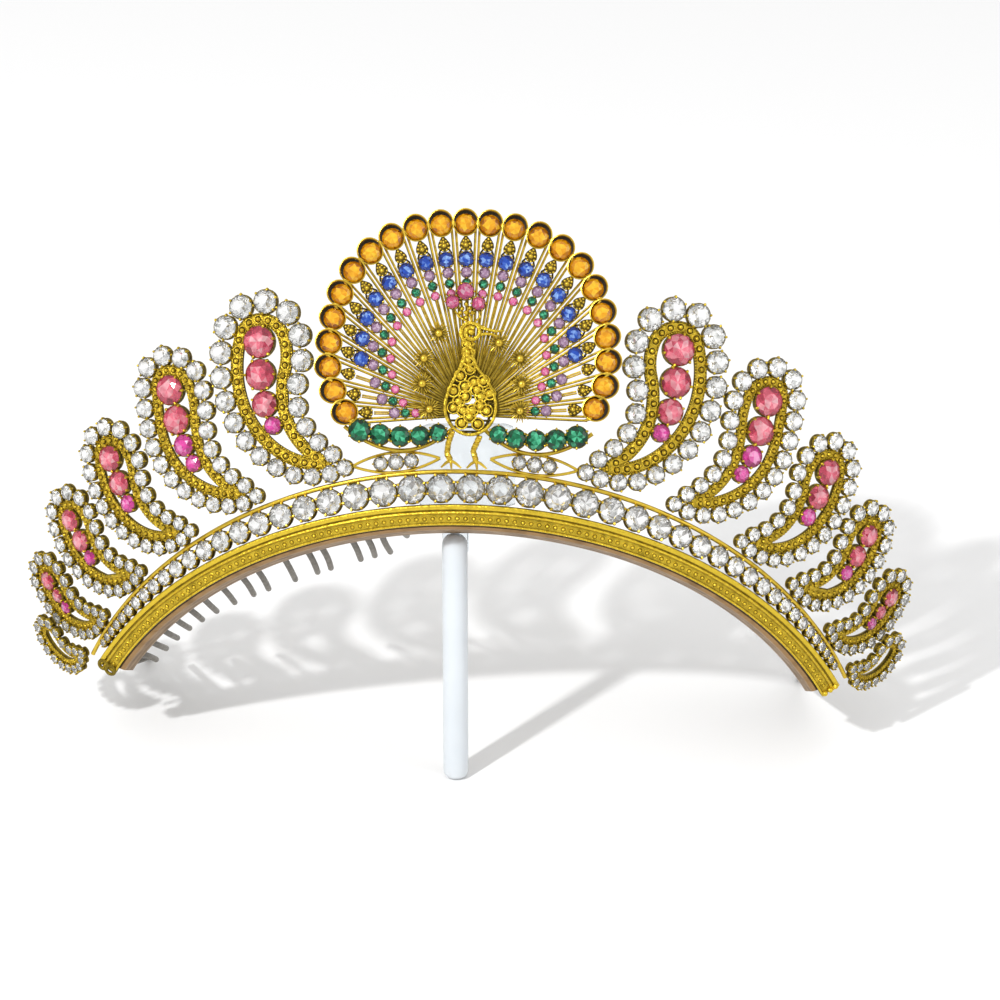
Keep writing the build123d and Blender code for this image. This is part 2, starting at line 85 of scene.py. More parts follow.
def tube(path, radius, sides=7, loop=False, wear=1.0, flat=1.0):
    # A round wire along a path; radius and the wear with painted shade may be lists, and flat presses the
    # wire along its local z
    path = [Vector(point) for point in path]
    count = len(path)
    radii = radius if isinstance(radius, (list, tuple)) else [radius] * count
    side = None
    rows = []
    for k, point in enumerate(path):
        before = path[k - 1] if k or loop else path[k]
        after = path[(k + 1) % count] if k < count - 1 or loop else path[k]
        way = (after - before).normalized()
        if side is None:
            side = way.orthogonal().normalized()
        side = (side - way * side.dot(way)).normalized()
        other = way.cross(side)
        row = []
        for j in range(sides):
            angle = 2 * pi * j / sides
            step = (side * cos(angle) + other * sin(angle)) * radii[k]
            row.append(point + Vector((step.x, step.y, step.z * flat)))
        rows.append(row)
    points, faces, _ = skin(rows, [1.0] * sides, loop)
    shadedWear = wear if isinstance(wear, (list, tuple)) else [wear] * count
    return points, faces, [value for value in shadedWear for _ in range(sides)]


def lathe(profile, sides=24, loop=False):
    # Turns rows of radius, height and wear with painted shade about z
    points, wear, faces, rings = [], [], [], []
    for radius, height, shadedWear in profile:
        count = sides if radius > 1e-6 else 1
        rings.append((len(points), count))
        for k in range(count):
            angle = 2 * pi * k / sides
            points.append((radius * cos(angle), radius * sin(angle), height))
            wear.append(shadedWear)
    pairs = list(zip(rings, rings[1:] + rings[:1])) if loop else list(zip(rings, rings[1:]))
    for (low, lowCount), (high, highCount) in pairs:
        for k in range(sides):
            face = []
            for corner in (low + k % lowCount, low + (k + 1) % lowCount,
                           high + (k + 1) % highCount, high + k % highCount):
                if corner not in face:
                    face.append(corner)
            if len(face) > 2:
                faces.append(tuple(face))
    return points, faces, wear


def ringWire(radius, wire, sides=20, round=6, wear=0.9):
    # A closed round wire about z
    path = [(radius * cos(2 * pi * k / sides), radius * sin(2 * pi * k / sides), 0) for k in range(sides)]
    return tube(path, wire, round, loop=True, wear=wear)


def dome(radius, height, sides=14, rows=5, low=0.25):
    # A domed bead that stands on z = 0; its foot is painted dark as shade and its top light as a painted
    # highlight
    profile = []
    for k in range(rows + 1):
        angle = pi / 2 * k / rows
        paintedShading = low + (1 - low) * min(1, 1.6 * sin(angle))
        profile.append((radius * cos(angle) if k < rows else 0, height * sin(angle), paintedShading))
    return lathe(profile, sides)


def ball(radius, sides=10, rows=6, wear=0.9):
    profile = []
    for k in range(rows + 1):
        angle = -pi / 2 + pi * k / rows
        profile.append((radius * cos(angle) if 0 < k < rows else 0, radius * sin(angle), wear))
    return lathe(profile, sides)


def shifted(part, step):
    points, faces, wear = part
    return [tuple(Vector(point) + Vector(step)) for point in points], faces, wear


def moved(where, u, v, w=0.0, turn=0.0, grow=1.0):
    # A place on a plane, turned about its normal and scaled
    return where @ Matrix.Translation((u, v, w)) @ Matrix.Rotation(turn, 4, "Z") @ Matrix.Scale(grow, 4)


# Cut stones

cut = {"crown": 0.15, "break": 0.095, "table": 0.27, "middle": 0.395, "girdle": 0.012, "pavilion": 0.31,
       "keel": 0.24, "keelDrop": 0.19}


def spread(radius, count, offset, height):
    turns = [2 * pi * (k + offset) / count for k in range(count)]
    return [(radius * cos(turn), radius * sin(turn), height) for turn in turns]


def gemPart():
    # Round stone of diameter 1: table, star, kite and girdle facets above, long facets below
    points = [(0, 0, cut["crown"])]
    points += spread(cut["table"], 8, 0.5, cut["crown"])           # 1 to 8
    points += spread(cut["middle"], 8, 0, cut["break"])            # 9 to 16
    points += spread(0.5, 16, 0, cut["girdle"])                    # 17 to 32
    points += spread(0.5, 16, 0, -cut["girdle"])                   # 33 to 48
    points += spread(cut["keel"], 8, 0.5, -cut["keelDrop"])        # 49 to 56
    points.append((0, 0, -cut["pavilion"]))                        # 57
    faces = []
    for k in range(8):
        table, tableNext = 1 + k, 1 + (k + 1) % 8
        middle, middleNext = 9 + k, 9 + (k + 1) % 8
        rim = [17 + (2 * k + j) % 16 for j in range(3)]
        faces.append((0, table, tableNext))
        faces.append((table, middleNext, tableNext))
        faces.append((middle, rim[1], middleNext, table))
        faces.append((middle, rim[0], rim[1]))
        faces.append((rim[1], rim[2], middleNext))
        low = [corner + 16 for corner in rim]
        keel, keelBefore = 49 + k, 49 + (k - 1) % 8
        faces.append((rim[0], low[0], low[1], rim[1]))
        faces.append((rim[1], low[1], low[2], rim[2]))
        faces.append((low[0], keel, low[1]))
        faces.append((low[1], keel, low[2]))
        faces.append((low[0], keelBefore, keel))
        faces.append((keelBefore, 57, keel))
    return points, faces, [1.0] * len(points)


gem = gemPart()


# Lowest and highest value of a facet's painted reflection, dark to light, in the order of the eleven faces of
# each eighth
facetReflectionRange = ((0.6, 1.0), (0.3, 1.0), (0.1, 0.85), (0.0, 0.6), (0.0, 0.6)) + ((0.0, 0.8),) * 6


def addGem(shape, where, size, tone=0.0):
    spin = dice.uniform(0, pi / 4)
    facetReflections = [dice.uniform(*facetReflectionRange[k % len(facetReflectionRange)]) for k in range(len(gem[1]))]
    shape.add(gem, where @ Matrix.Rotation(spin, 4, "Z") @ Matrix.Scale(size, 4), facetReflections, tone)


# Sizes of a collet and its claws, in millimetres or as shares of the stone
setting = {"wall": 0.30, "gap": 0.12, "edge": 0.34, "skirt": 0.04, "bevel": 0.1, "drop": 0.08,
           "foot": 0.04, "lip": 0.06, "lipShading": (0.25, 0.4), "round": 24, "outerShade": 0.12,
           "claw": 0.0341, "clawLeast": 0.10, "clawReach": 0.05, "clawDrop": 0.6, "clawBend": 0.9,
           "slope": 1.2, "clawOut": (-0.05, 0.02, -0.12, -0.1), "clawThick": (0.8, 1.0, 1.05, 0.5)}


def colletRadius(size):
    return size / 2 + setting["gap"] + setting["wall"]


def setStone(metal, stones, where, radius, low, girdle, claws=6, turn=0.0, tone=0.0):
    # A stone that covers its tubular seat, held by pointed claws; only the claws are bright, and the seat
    # carries painted shade, darkest inside and dark on its outer wall between stones, a little lighter on the
    # lip
    bevel, shadedWear = setting["bevel"], setting["outerShade"]
    top = girdle - setting["drop"]
    outer, inner = radius - setting["skirt"], radius - setting["wall"] - setting["gap"]
    underLip, onLip = [shadedWear + more for more in setting["lipShading"]]
    seat = [(outer - setting["foot"], low, 0.6), (outer, low + bevel, 0.5), (outer, (low + top) / 2, shadedWear),
            (outer, top - bevel, underLip), (outer - setting["lip"], top, onLip),
            (inner, top - bevel, 0.0), (inner, low, 0.3)]
    metal.add(lathe(seat, setting["round"], loop=True), where)
    size = 2 * radius - setting["edge"]
    addGem(stones, moved(where, 0, 0, girdle), size, tone)
    thick = setting["clawLeast"] + setting["claw"] * size
    inwards = setting["clawReach"] * size
    reach = [radius + out for out in setting["clawOut"]]
    reach[-1] -= inwards
    rise = (girdle - setting["clawDrop"], girdle, girdle + thick * setting["clawBend"],
            girdle + setting["slope"] * inwards)
    radii = [thick * share for share in setting["clawThick"]]
    for k in range(claws):
        angle = turn + 2 * pi * k / claws
        path = [(r * cos(angle), r * sin(angle), z) for r, z in zip(reach, rise)]
        metal.add(tube(path, radii, 6), where)


# Frames of the arch

arch = {"front": (3.1, -8.0, 61.6), "radius": 81.3, "tilt": 70.5, "turn": -1.4, "lean": 1.27,
        "halfAngle": 65.0, "face": 4.35, "splay": 63.7}
rail = {"radius": 84.6, "tilt": 3.8, "wire": 0.475, "height": 6.65, "splay": 38.0, "turn": 68.0,
        "steps": 160, "end": 62.5, "depth": 1.8, "girdle": 0.54, "claws": 8, "gap": 0.28, "solder": 0.08}


def turned(vector):
    return (Matrix.Rotation(radians(arch["lean"]), 3, "Y") @ Matrix.Rotation(radians(arch["turn"]), 3, "Z")
            @ Vector(vector))


def frameAt(origin, xWay, zWay):
    xWay, zWay = Vector(xWay), Vector(zWay)
    made = Matrix((xWay, zWay.cross(xWay), zWay)).transposed().to_4x4()
    made.translation = Vector(origin)
    return made


tilt = radians(arch["tilt"])
ringFront = turned((0, -cos(tilt), sin(tilt)))
ring = frameAt(Vector(arch["front"]) - ringFront * arch["radius"], turned((1, 0, 0)),
               turned((0, sin(tilt), cos(tilt))))
edgeRadius = arch["radius"] + arch["face"] * sin(radians(arch["splay"]))
edgeHeight = arch["face"] * cos(radians(arch["splay"]))
railFront = edgeRadius + rail["height"] * sin(radians(rail["splay"]))
railHeight = edgeHeight + rail["height"] * cos(radians(rail["splay"]))


def onRing(angle, radius, height):
    return ring @ Vector((sin(radians(angle)) * radius, -cos(radians(angle)) * radius, height))


def facing(angle, radius, height, splay, look=None):
    # Frame on the ring: y climbs the leaning wall and z looks outwards
    look = radians(angle if look is None else look)
    lean = radians(splay)
    out = Vector((sin(look), -cos(look), 0))
    local = frameAt((sin(radians(angle)) * radius, -cos(radians(angle)) * radius, height),
                    (cos(look), sin(look), 0), out * cos(lean) - Vector((0, 0, sin(lean))))
    return ring @ local


def railLocal(turn):
    lean = radians(rail["tilt"])
    back = rail["radius"] * (1 - cos(radians(turn)))
    return Vector((rail["radius"] * sin(radians(turn)), back * cos(lean) - railFront,
                   railHeight - back * sin(lean)))


def railAt(angle):
    turn = angle
    for _ in range(8):
        place = railLocal(turn)
        turn += angle - degrees(atan2(place.x, -place.y))
    place = railLocal(turn)
    return hypot(place.x, place.y), place.z


# Materials

class Term:
    # A value in a node tree, so that sums on it are written as Python
    def __init__(self, paint, socket):
        self.paint, self.socket = paint, socket

    def __add__(self, other):
        return self.paint.math("ADD", self, other)

    def __radd__(self, other):
        return self.paint.math("ADD", other, self)

    def __sub__(self, other):
        return self.paint.math("SUBTRACT", self, other)

    def __rsub__(self, other):
        return self.paint.math("SUBTRACT", other, self)

    def __mul__(self, other):
        return self.paint.math("MULTIPLY", self, other)

    def __rmul__(self, other):
        return self.paint.math("MULTIPLY", other, self)


class Paint:
    # Builds the nodes of a material or of the world
    def __init__(self, owner):
        owner.use_nodes = True
        self.owner, self.tree = owner, owner.node_tree
        self.tree.nodes.clear()

    def node(self, kind, settings=None, sockets=None, output=0):
        # Settings are set first, then values or links go into the sockets
        made = self.tree.nodes.new(kind)
        for key, value in (settings or {}).items():
            if key == "stops":
                while len(made.color_ramp.elements) < len(value):
                    made.color_ramp.elements.new(0.5)
                for stop, (place, colour) in zip(made.color_ramp.elements, value):
                    stop.position, stop.color = place, (*colour, 1)
            else:
                setattr(made, key, value)
        for key, value in (sockets or {}).items():
            if isinstance(value, Term):
                self.tree.links.new(value.socket, made.inputs[key])
            else:
                made.inputs[key].default_value = value
        return Term(self, made.outputs[output]) if made.outputs else None

    def math(self, operation, first, second):
        return self.node("ShaderNodeMath", {"operation": operation}, {0: first, 1: second})

    def clamped(self, value):
        return self.node("ShaderNodeClamp", None, {"Value": value, "Min": 0.0, "Max": 1.0})

    def mixed(self, factor, first, second):
        # Mix of two colours; sockets 6 and 7 are its colour inputs
        first = first if isinstance(first, Term) else (*first, 1)
        second = second if isinstance(second, Term) else (*second, 1)
        return self.node("ShaderNodeMix", {"data_type": "RGBA"}, {0: factor, 6: first, 7: second}, 2)

    def attribute(self, name):
        return self.node("ShaderNodeAttribute", {"attribute_name": name}, None, "Fac")

    def place(self, stretch=(1, 1, 1)):
        place = self.node("ShaderNodeTexCoord", None, None, "Object")
        return self.node("ShaderNodeVectorMath", {"operation": "MULTIPLY"}, {0: place, 1: stretch})

    def noise(self, scale, detail=3.0, stretch=(1, 1, 1)):
        return self.node("ShaderNodeTexNoise", None,
                         {"Vector": self.place(stretch), "Scale": scale, "Detail": detail})

    def bump(self, height, strength, depth):
        return self.node("ShaderNodeBump", None,
                         {"Height": height, "Strength": strength, "Distance": depth})

    def finish(self, shader, kind="ShaderNodeOutputMaterial"):
        self.node(kind, None, {"Surface": shader})
        return self.owner


def metalPaint(name, look):
    # Plated metal, darkened where the shape's corner value is low: tarnish in its hollows together with
    # painted shade in recesses, gaps and on backs, and brightest on high spots as a painted highlight
    paint = Paint(bpy.data.materials.new(name))
    spots = paint.noise(look["spotScale"], 4.0)
    grain = paint.noise(look["grainScale"], 2.0)
    patchy = 1 - look["spots"] + 2 * look["spots"] * spots
    bright = paint.clamped(paint.attribute("wear") * patchy * look["reach"] - look["darkBias"])
    warm = paint.mixed(spots, look["plate"], look["warm"])
    colour = paint.mixed(bright, look["tarnishAndShade"], warm)
    rough = look["dull"] - (look["dull"] - look["polish"]) * bright + look["uneven"] * (grain - 0.5)
    shader = paint.node("ShaderNodeBsdfPrincipled", None, {
        "Base Color": colour, "Metallic": look["metallic"], "Roughness": rough,
        "Normal": paint.bump(grain, look["bump"], look["depth"])})
    return paint.finish(shader)


def stonePaint(name, look):
    # Foiled glass with a painted reflection on each facet: every facet gets its own value from dark to light
    # in place of what it would mirror, and the top is glossy
    paint = Paint(bpy.data.materials.new(name))
    facet = paint.attribute("facet")
    cloud = paint.noise(look["cloudScale"], 2.0)
    ramp = paint.node("ShaderNodeValToRGB", {"stops": look["stops"]},
                      {"Fac": paint.clamped(facet + look["cloud"] * (cloud - 0.5))})
    colour = paint.mixed(paint.attribute("tone"), ramp, paint.node(
        "ShaderNodeValToRGB", {"stops": look.get("otherStops", look["stops"])}, {"Fac": facet}))
    shader = paint.node("ShaderNodeBsdfPrincipled", None, {
        "Base Color": colour, "Roughness": look["roughness"] + look["uneven"] * cloud, "IOR": look["ior"],
        "Transmission Weight": look["through"], "Specular IOR Level": look["gloss"]})
    return paint.finish(shader)


def plasticPaint(name, look):
    # Plastic with a faint wave and fine scratches along it
    paint = Paint(bpy.data.materials.new(name))
    wave = paint.noise(look["waveScale"], 1.0)
    scratch = paint.noise(look["scratchScale"], 2.0, (1, 1, look["stretch"]))
    rough = look["roughness"] + look["uneven"] * wave + look["scratches"] * (scratch - 0.5)
    shader = paint.node("ShaderNodeBsdfPrincipled", None, {
        "Base Color": paint.mixed(wave, look["colour"], look["other"]), "Roughness": rough,
        "IOR": look["ior"], "Transmission Weight": look["through"], "Subsurface Weight": look["glow"],
        "Subsurface Scale": look["glowDepth"], "Subsurface Radius": (1.0, 1.0, 1.0),
        "Normal": paint.bump(wave + look["scratchDepth"] * scratch, look["bump"], look["depth"])})
    return paint.finish(shader)


# The dark colour of each metal is tarnish and painted shade together
gilt = {"plate": (0.52, 0.355, 0.032), "warm": (0.68, 0.48, 0.055), "tarnishAndShade": (0.030, 0.021, 0.007),
        "spots": 0.5, "spotScale": 900.0, "grainScale": 2600.0, "reach": 1.3, "darkBias": 0.14,
        "polish": 0.30, "dull": 0.6, "uneven": 0.1, "bump": 0.5, "depth": 0.0001, "metallic": 0.9}
giltPaint = metalPaint("gilt", gilt)
bandGilt = dict(gilt, plate=(0.56, 0.395, 0.024), warm=(0.72, 0.53, 0.05), tarnishAndShade=(0.06, 0.042, 0.008),
                spots=0.6, spotScale=700.0, grainScale=1500.0, bump=0.9, depth=0.0003, polish=0.4, darkBias=0.08)
bandPaint = metalPaint("bandGilt", bandGilt)
oldGilt = dict(gilt, plate=(0.47, 0.325, 0.022), warm=(0.68, 0.49, 0.045), tarnishAndShade=(0.024, 0.017, 0.006),
               spots=0.8, spotScale=900.0, grainScale=1700.0, bump=1.0, depth=0.0004, polish=0.38, darkBias=0.1)
oldGiltPaint = metalPaint("oldGilt", oldGilt)
copper = {"plate": (0.24, 0.135, 0.050), "warm": (0.40, 0.245, 0.105), "tarnishAndShade": (0.045, 0.027, 0.013),
          "spots": 0.7, "spotScale": 260.0, "grainScale": 1800.0, "reach": 1.2, "darkBias": 0.05,
          "polish": 0.4, "dull": 0.62, "uneven": 0.1, "bump": 0.5, "depth": 0.0002, "metallic": 0.7}
copperPaint = metalPaint("copperStrip", copper)
darkWire = {"plate": (0.105, 0.085, 0.055), "warm": (0.17, 0.14, 0.10), "tarnishAndShade": (0.022, 0.018, 0.012),
            "spots": 0.5, "spotScale": 420.0, "grainScale": 2600.0, "reach": 1.3, "darkBias": 0.05,
            "polish": 0.36, "dull": 0.6, "uneven": 0.1, "bump": 0.4, "depth": 0.0002, "metallic": 0.45}
darkWirePaint = metalPaint("darkWire", darkWire)

# Foiled glass; each ramp runs from a facet's darkest painted reflection to its lightest
glass = {"cloud": 0.4, "cloudScale": 900.0, "roughness": 0.04, "uneven": 0.05, "ior": 1.6,
         "through": 0.5, "gloss": 0.5}
clear = dict(glass, cloud=0.3, cloudScale=1100.0, roughness=0.01, ior=1.62, through=0.92, stops=(
    (0.0, (0.07, 0.075, 0.065)), (0.13, (0.60, 0.61, 0.58)), (0.24, (1.0, 1.0, 0.98)),
    (1.0, (1.0, 1.0, 1.0))))
clearPaint = stonePaint("clearStone", clear)
rose = dict(glass, cloudScale=700.0, roughness=0.03, through=0.65, stops=(
    (0.0, (0.20, 0.004, 0.02)), (0.35, (0.56, 0.035, 0.09)), (0.65, (0.86, 0.16, 0.24)),
    (1.0, (1.0, 0.66, 0.68))), otherStops=(
    (0.0, (0.26, 0.002, 0.09)), (0.4, (0.60, 0.02, 0.26)), (0.75, (0.88, 0.09, 0.46)),
    (1.0, (1.0, 0.56, 0.80))))
rosePaint = stonePaint("roseStone", rose)
amber = dict(glass, cloud=0.6, cloudScale=700.0, roughness=0.05, ior=1.55, through=0.45, gloss=0.3, stops=(
    (0.0, (0.26, 0.075, 0.0)), (0.3, (0.56, 0.20, 0.001)), (0.65, (0.82, 0.36, 0.003)),
    (1.0, (0.98, 0.62, 0.03))))
amberPaint = stonePaint("amberStone", amber)
blue = dict(glass, through=0.4, gloss=0.3, stops=(
    (0.0, (0.001, 0.005, 0.07)), (0.4, (0.002, 0.024, 0.24)), (0.75, (0.010, 0.080, 0.52)),
    (1.0, (0.32, 0.54, 0.98))))
bluePaint = stonePaint("blueStone", blue)
green = dict(glass, through=0.4, gloss=0.2, stops=(
    (0.0, (0.0, 0.010, 0.004)), (0.4, (0.0, 0.055, 0.020)), (0.75, (0.0, 0.165, 0.065)),
    (1.0, (0.10, 0.62, 0.34))))
greenPaint = stonePaint("greenStone", green)
purple = dict(glass, cloud=0.3, roughness=0.05, stops=(
    (0.0, (0.12, 0.045, 0.11)), (0.4, (0.28, 0.14, 0.26)), (0.75, (0.48, 0.29, 0.46)),
    (1.0, (0.82, 0.64, 0.80))))
purplePaint = stonePaint("purpleStone", purple)
pink = dict(glass, cloud=0.3, stops=(
    (0.0, (0.46, 0.02, 0.15)), (0.4, (0.76, 0.08, 0.30)), (0.75, (0.92, 0.24, 0.50)),
    (1.0, (1.0, 0.60, 0.76))))
pinkPaint = stonePaint("pinkStone", pink)

plastic = {"colour": (0.64, 0.68, 0.715), "other": (0.70, 0.735, 0.765), "waveScale": 90.0,
           "scratchScale": 420.0, "stretch": 0.06, "roughness": 0.28, "uneven": 0.10, "scratches": 0.08,
           "scratchDepth": 0.15, "bump": 0.05, "depth": 0.0003, "through": 0.12, "ior": 1.49,
           "glow": 0.7, "glowDepth": 0.004}
whitePlasticPaint = plasticPaint("whitePlastic", plastic)
clearPlastic = dict(plastic, colour=(0.84, 0.895, 0.935), other=(0.90, 0.935, 0.96), roughness=0.10,
                    through=0.9, ior=1.15, glow=0.0)
clearPlasticPaint = plasticPaint("clearPlastic", clearPlastic)
print("materials ready")


def makePiece(name, shape, material, slot, *nodes, smooth=True):
    # Turns a shape into an object that rides on the frame and stands for CAD nodes
    mesh = bpy.data.meshes.new(name)
    mesh.from_pydata([(x * mm, y * mm, z * mm) for x, y, z in shape.points], [], shape.faces)
    mesh.attributes.new("wear", "FLOAT", "POINT").data.foreach_set("value", shape.wear)
    mesh.attributes.new("facet", "FLOAT", "FACE").data.foreach_set("value", shape.facet)
    mesh.attributes.new("tone", "FLOAT", "FACE").data.foreach_set("value", shape.tone)
    work = bmesh.new()
    work.from_mesh(mesh)
    bmesh.ops.recalc_face_normals(work, faces=work.faces)
    work.to_mesh(mesh)
    triangles = sum(len(face.verts) - 2 for face in work.faces)
    work.free()
    mesh.polygons.foreach_set("use_smooth", [smooth] * len(mesh.polygons))
    if smooth:
        mesh.set_sharp_from_angle(angle=radians(42))
    piece = bpy.data.objects.new(name, mesh)
    bpy.context.scene.collection.objects.link(piece)
    mesh.materials.append(material)
    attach(piece, "root")
    if nodes:
        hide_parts(*nodes)
    print(f"{name}: {triangles} triangles")
    return piece


# Band

bandLook = {"steps": 300, "beadPitch": 1.62, "beadRise": 1.40, "bead": 0.36, "beadTall": 0.40, "hoop": 0.60,
            "hoopWire": 0.09, "hoopOpening": 0.35, "grooveShade": 0.045, "dotPitch": 0.82, "dot": 0.19,
            "dotRise": 0.27, "dotOut": 0.25, "endMargin": 2.0}
bandEnds = {"hooks": (1.2, 3.0), "hook": 1.05, "hookWire": 0.38, "hookBack": 0.4, "hookOut": 0.35,
            "beads": (0.8, 2.1, 3.4), "bead": 0.62, "beadBack": 0.3, "beadOut": 0.3}
# Up the face, outwards, wear with painted shade: dark at the lower edge and in the grooves, light on the
# ridges
bandProfile = (
    (0.3, -1.0, 0.5), (0, -1.0, 0.0), (0, 0.10, 0.3), (0.05, 0.22, 0.8), (0.12, 0.27, 0.9), (0.42, 0.27, 0.9),
    (0.50, 0.18, 0.5), (0.56, 0.03, 0.35), (0.70, 0.0, 0.55), (1.45, 0.04, 0.66), (2.20, 0.0, 0.55),
    (2.34, 0.03, 0.35), (2.42, 0.15, 0.6), (2.50, 0.30, 0.8), (2.62, 0.44, 1.0), (2.75, 0.50, 1.0),
    (2.88, 0.44, 1.0), (3.0, 0.30, 0.8), (3.08, 0.10, 0.5), (3.12, 0.0, 0.36), (3.28, 0.0, 0.36),
    (3.32, 0.15, 0.5), (3.40, 0.32, 0.9), (3.50, 0.36, 1.0), (4.08, 0.36, 1.0), (4.20, 0.32, 0.9),
    (4.30, 0.20, 0.7), (4.35, 0.10, 0.5), (4.35, -0.3, 0.4), (3.45, -1.0, 0.6))


def onBand(angle, rise, out):
    lean = radians(arch["splay"])
    return onRing(angle, arch["radius"] + rise * sin(lean) + out * cos(lean),
                  rise * cos(lean) - out * sin(lean))


def bandFrame(angle, rise, out):
    lean = radians(arch["splay"])
    return facing(angle, arch["radius"] + rise * sin(lean) + out * cos(lean),
                  rise * cos(lean) - out * sin(lean), arch["splay"])


def alongBand(pitch, rise, out):
    # Places at an even pitch along the band's face
    step = degrees(pitch / arch["radius"])
    count = int((2 * arch["halfAngle"] - bandLook["endMargin"]) / step)
    return [bandFrame((k - (count - 1) / 2) * step, rise, out) for k in range(count)]


def hoopPart(radius, wire, opening, sides=16, round=6):
    # A ring of wire left open downwards
    path = []
    for k in range(sides + 1):
        angle = -pi / 2 + opening + (2 * pi - 2 * opening) * k / sides
        path.append((radius * cos(angle), radius * sin(angle), wire * 0.6))
    return tube(path, wire, round, wear=0.95)


moulding = Shape()
rows = []
for k in range(bandLook["steps"] + 1):
    angle = arch["halfAngle"] * (2 * k / bandLook["steps"] - 1)
    rows.append([onBand(angle, rise, out) for rise, out, _ in bandProfile])
moulding.add(skin(rows, [shadedWear for _, _, shadedWear in bandProfile]))
hook = ringWire(bandEnds["hook"], bandEnds["hookWire"], 18, 7, 0.25)
for rise in bandEnds["hooks"]:   # two short dark hooks close the left end
    moulding.add(hook, bandFrame(bandEnds["hookBack"] - arch["halfAngle"], rise, bandEnds["hookOut"]))
for rise in bandEnds["beads"]:   # three small beads close the right one
    moulding.add(ball(bandEnds["bead"]),
                 bandFrame(arch["halfAngle"] - bandEnds["beadBack"], rise, bandEnds["beadOut"]))
makePiece("bandMoulding", moulding, bandPaint, "gilt", "band")

bandBeads = Shape()
beadPart = dome(bandLook["bead"], bandLook["beadTall"])
hoop = hoopPart(bandLook["hoop"], bandLook["hoopWire"], bandLook["hoopOpening"])
# A flat dark ring between each bead and its hoop, painted shade in the gap
bandGrooveShade = lathe([(bandLook["hoop"], bandLook["grooveShade"], 0.45),
                    (bandLook["bead"] * 0.8, bandLook["grooveShade"], 0.3)], 16)
for spot in alongBand(bandLook["beadPitch"], bandLook["beadRise"], 0.0):
    for part in (beadPart, bandGrooveShade, hoop):
        bandBeads.add(part, spot)
dotPart = dome(bandLook["dot"], bandLook["dot"], 7, 3, 0.6)
for spot in alongBand(bandLook["dotPitch"], bandLook["dotRise"], bandLook["dotOut"]):
    bandBeads.add(dotPart, spot)
makePiece("bandBeads", bandBeads, bandPaint, "gilt")


# Gallery

def gallerySeat(angle):
    radius, height = railAt(angle)
    wall = hypot(radius - edgeRadius, height - edgeHeight)
    splay = atan2(radius - edgeRadius, height - edgeHeight)
    size = wall - rail["gap"] - rail["wire"] + rail["solder"]
    middle = rail["gap"] + size / 2
    return facing(angle, edgeRadius + middle * sin(splay), edgeHeight + middle * cos(splay),
                  degrees(splay)), size


def galleryRow(side):
    row, angle = [], 0.0
    size = gallerySeat(angle)[1]
    while True:
        ahead = degrees((size - rail["solder"]) / edgeRadius)
        nextSize = gallerySeat(side * (angle + ahead))[1]
        angle += degrees(((size + nextSize) / 2 - rail["solder"]) / (edgeRadius + nextSize / 4))
        if angle > rail["end"]:
            return row
        spot, size = gallerySeat(side * angle)
        row.append((spot, size))


gallery, galleryStones = Shape(), Shape()
path = [ring @ railLocal(rail["turn"] * (2 * k / rail["steps"] - 1)) for k in range(rail["steps"] + 1)]
gallery.add(tube(path, rail["wire"], 10, wear=0.95))
for spot, size in galleryRow(-1)[::-1] + [gallerySeat(0)] + galleryRow(1):
    setStone(gallery, galleryStones, spot, size / 2, -rail["depth"] / 2, rail["girdle"], rail["claws"],
             pi / rail["claws"])
makePiece("galleryCollets", gallery, giltPaint, "gilt", "gallery")
makePiece("galleryStonesCut", galleryStones, clearPaint, "clear_stone", "gallery_stones", smooth=False)


# Paisleys

loops = {"splay": 43.0, "turn": -0.8, "ribbon": 0.134, "wider": 1.15, "behind": 0.4, "collet": 1.7,
         "claws": 6, "railClear": 0.62, "taper": 0.45, "ribbonEnd": 0.55, "stoneEnd": 0.2,
         "tipReach": 1.86, "tipAngle": 30.0, "heading": 0.306, "steps": 900, "stitch": 0.45}
# Beads and grains on the ribbon, as shares of its width, and the wires that hold the lowest rose
beading = {"floor": 0.70, "pitch": 0.92, "bead": 0.21, "tall": 0.28, "hoop": 0.31, "hoopWire": 0.05,
           "hoopRise": 0.02, "grooveShade": 0.03, "grainPitch": 0.62, "grain": 0.20, "grainSide": 0.87,
           "grainRise": 0.50}
roseBar = {"start": 0.9, "reach": 0.1955, "height": 0.3, "rise": 0.4, "wire": 0.22}
# Foot angle, turn, width, height, largest and smallest stone, roses from the top
paisleys = (
    (15.6, 8.0, 17.0, 36.5, 4.4, 2.7, (6.0, 5.75, 4.8, 3.1)),
    (28.0, 8.0, 14.0, 34.2, 3.5, 2.5, (5.6, 5.4, 4.0, 3.0)),
    (38.5, 11.0, 13.3, 28.8, 3.1, 2.2, (4.9, 4.6, 3.2)),
    (48.4, 12.0, 12.0, 24.8, 2.75, 1.95, (4.2, 4.1, 2.8)),
    (57.8, 14.0, 9.8, 20.8, 2.3, 1.65, (3.6, 2.6, 2.3)),
    (65.6, 16.0, 6.5, 13.5, 1.8, 1.4, ()))
# Corners of a loop as shares of its width and height
loopCorners = ((0.12, 0.115), (0.51, 0.52), (0.385, 0.685), (0.29, 0.865), (0.54, 1.00), (0.81, 0.945),
               (1.00, 0.685), (0.80, 0.315), (0.12, 0.115))
roseSides = (0.60, 0.685, 0.725, 0.69)
roseTones = (3, 2, 2, 2, 2, 0)   # how many roses of each loop are the paler kind
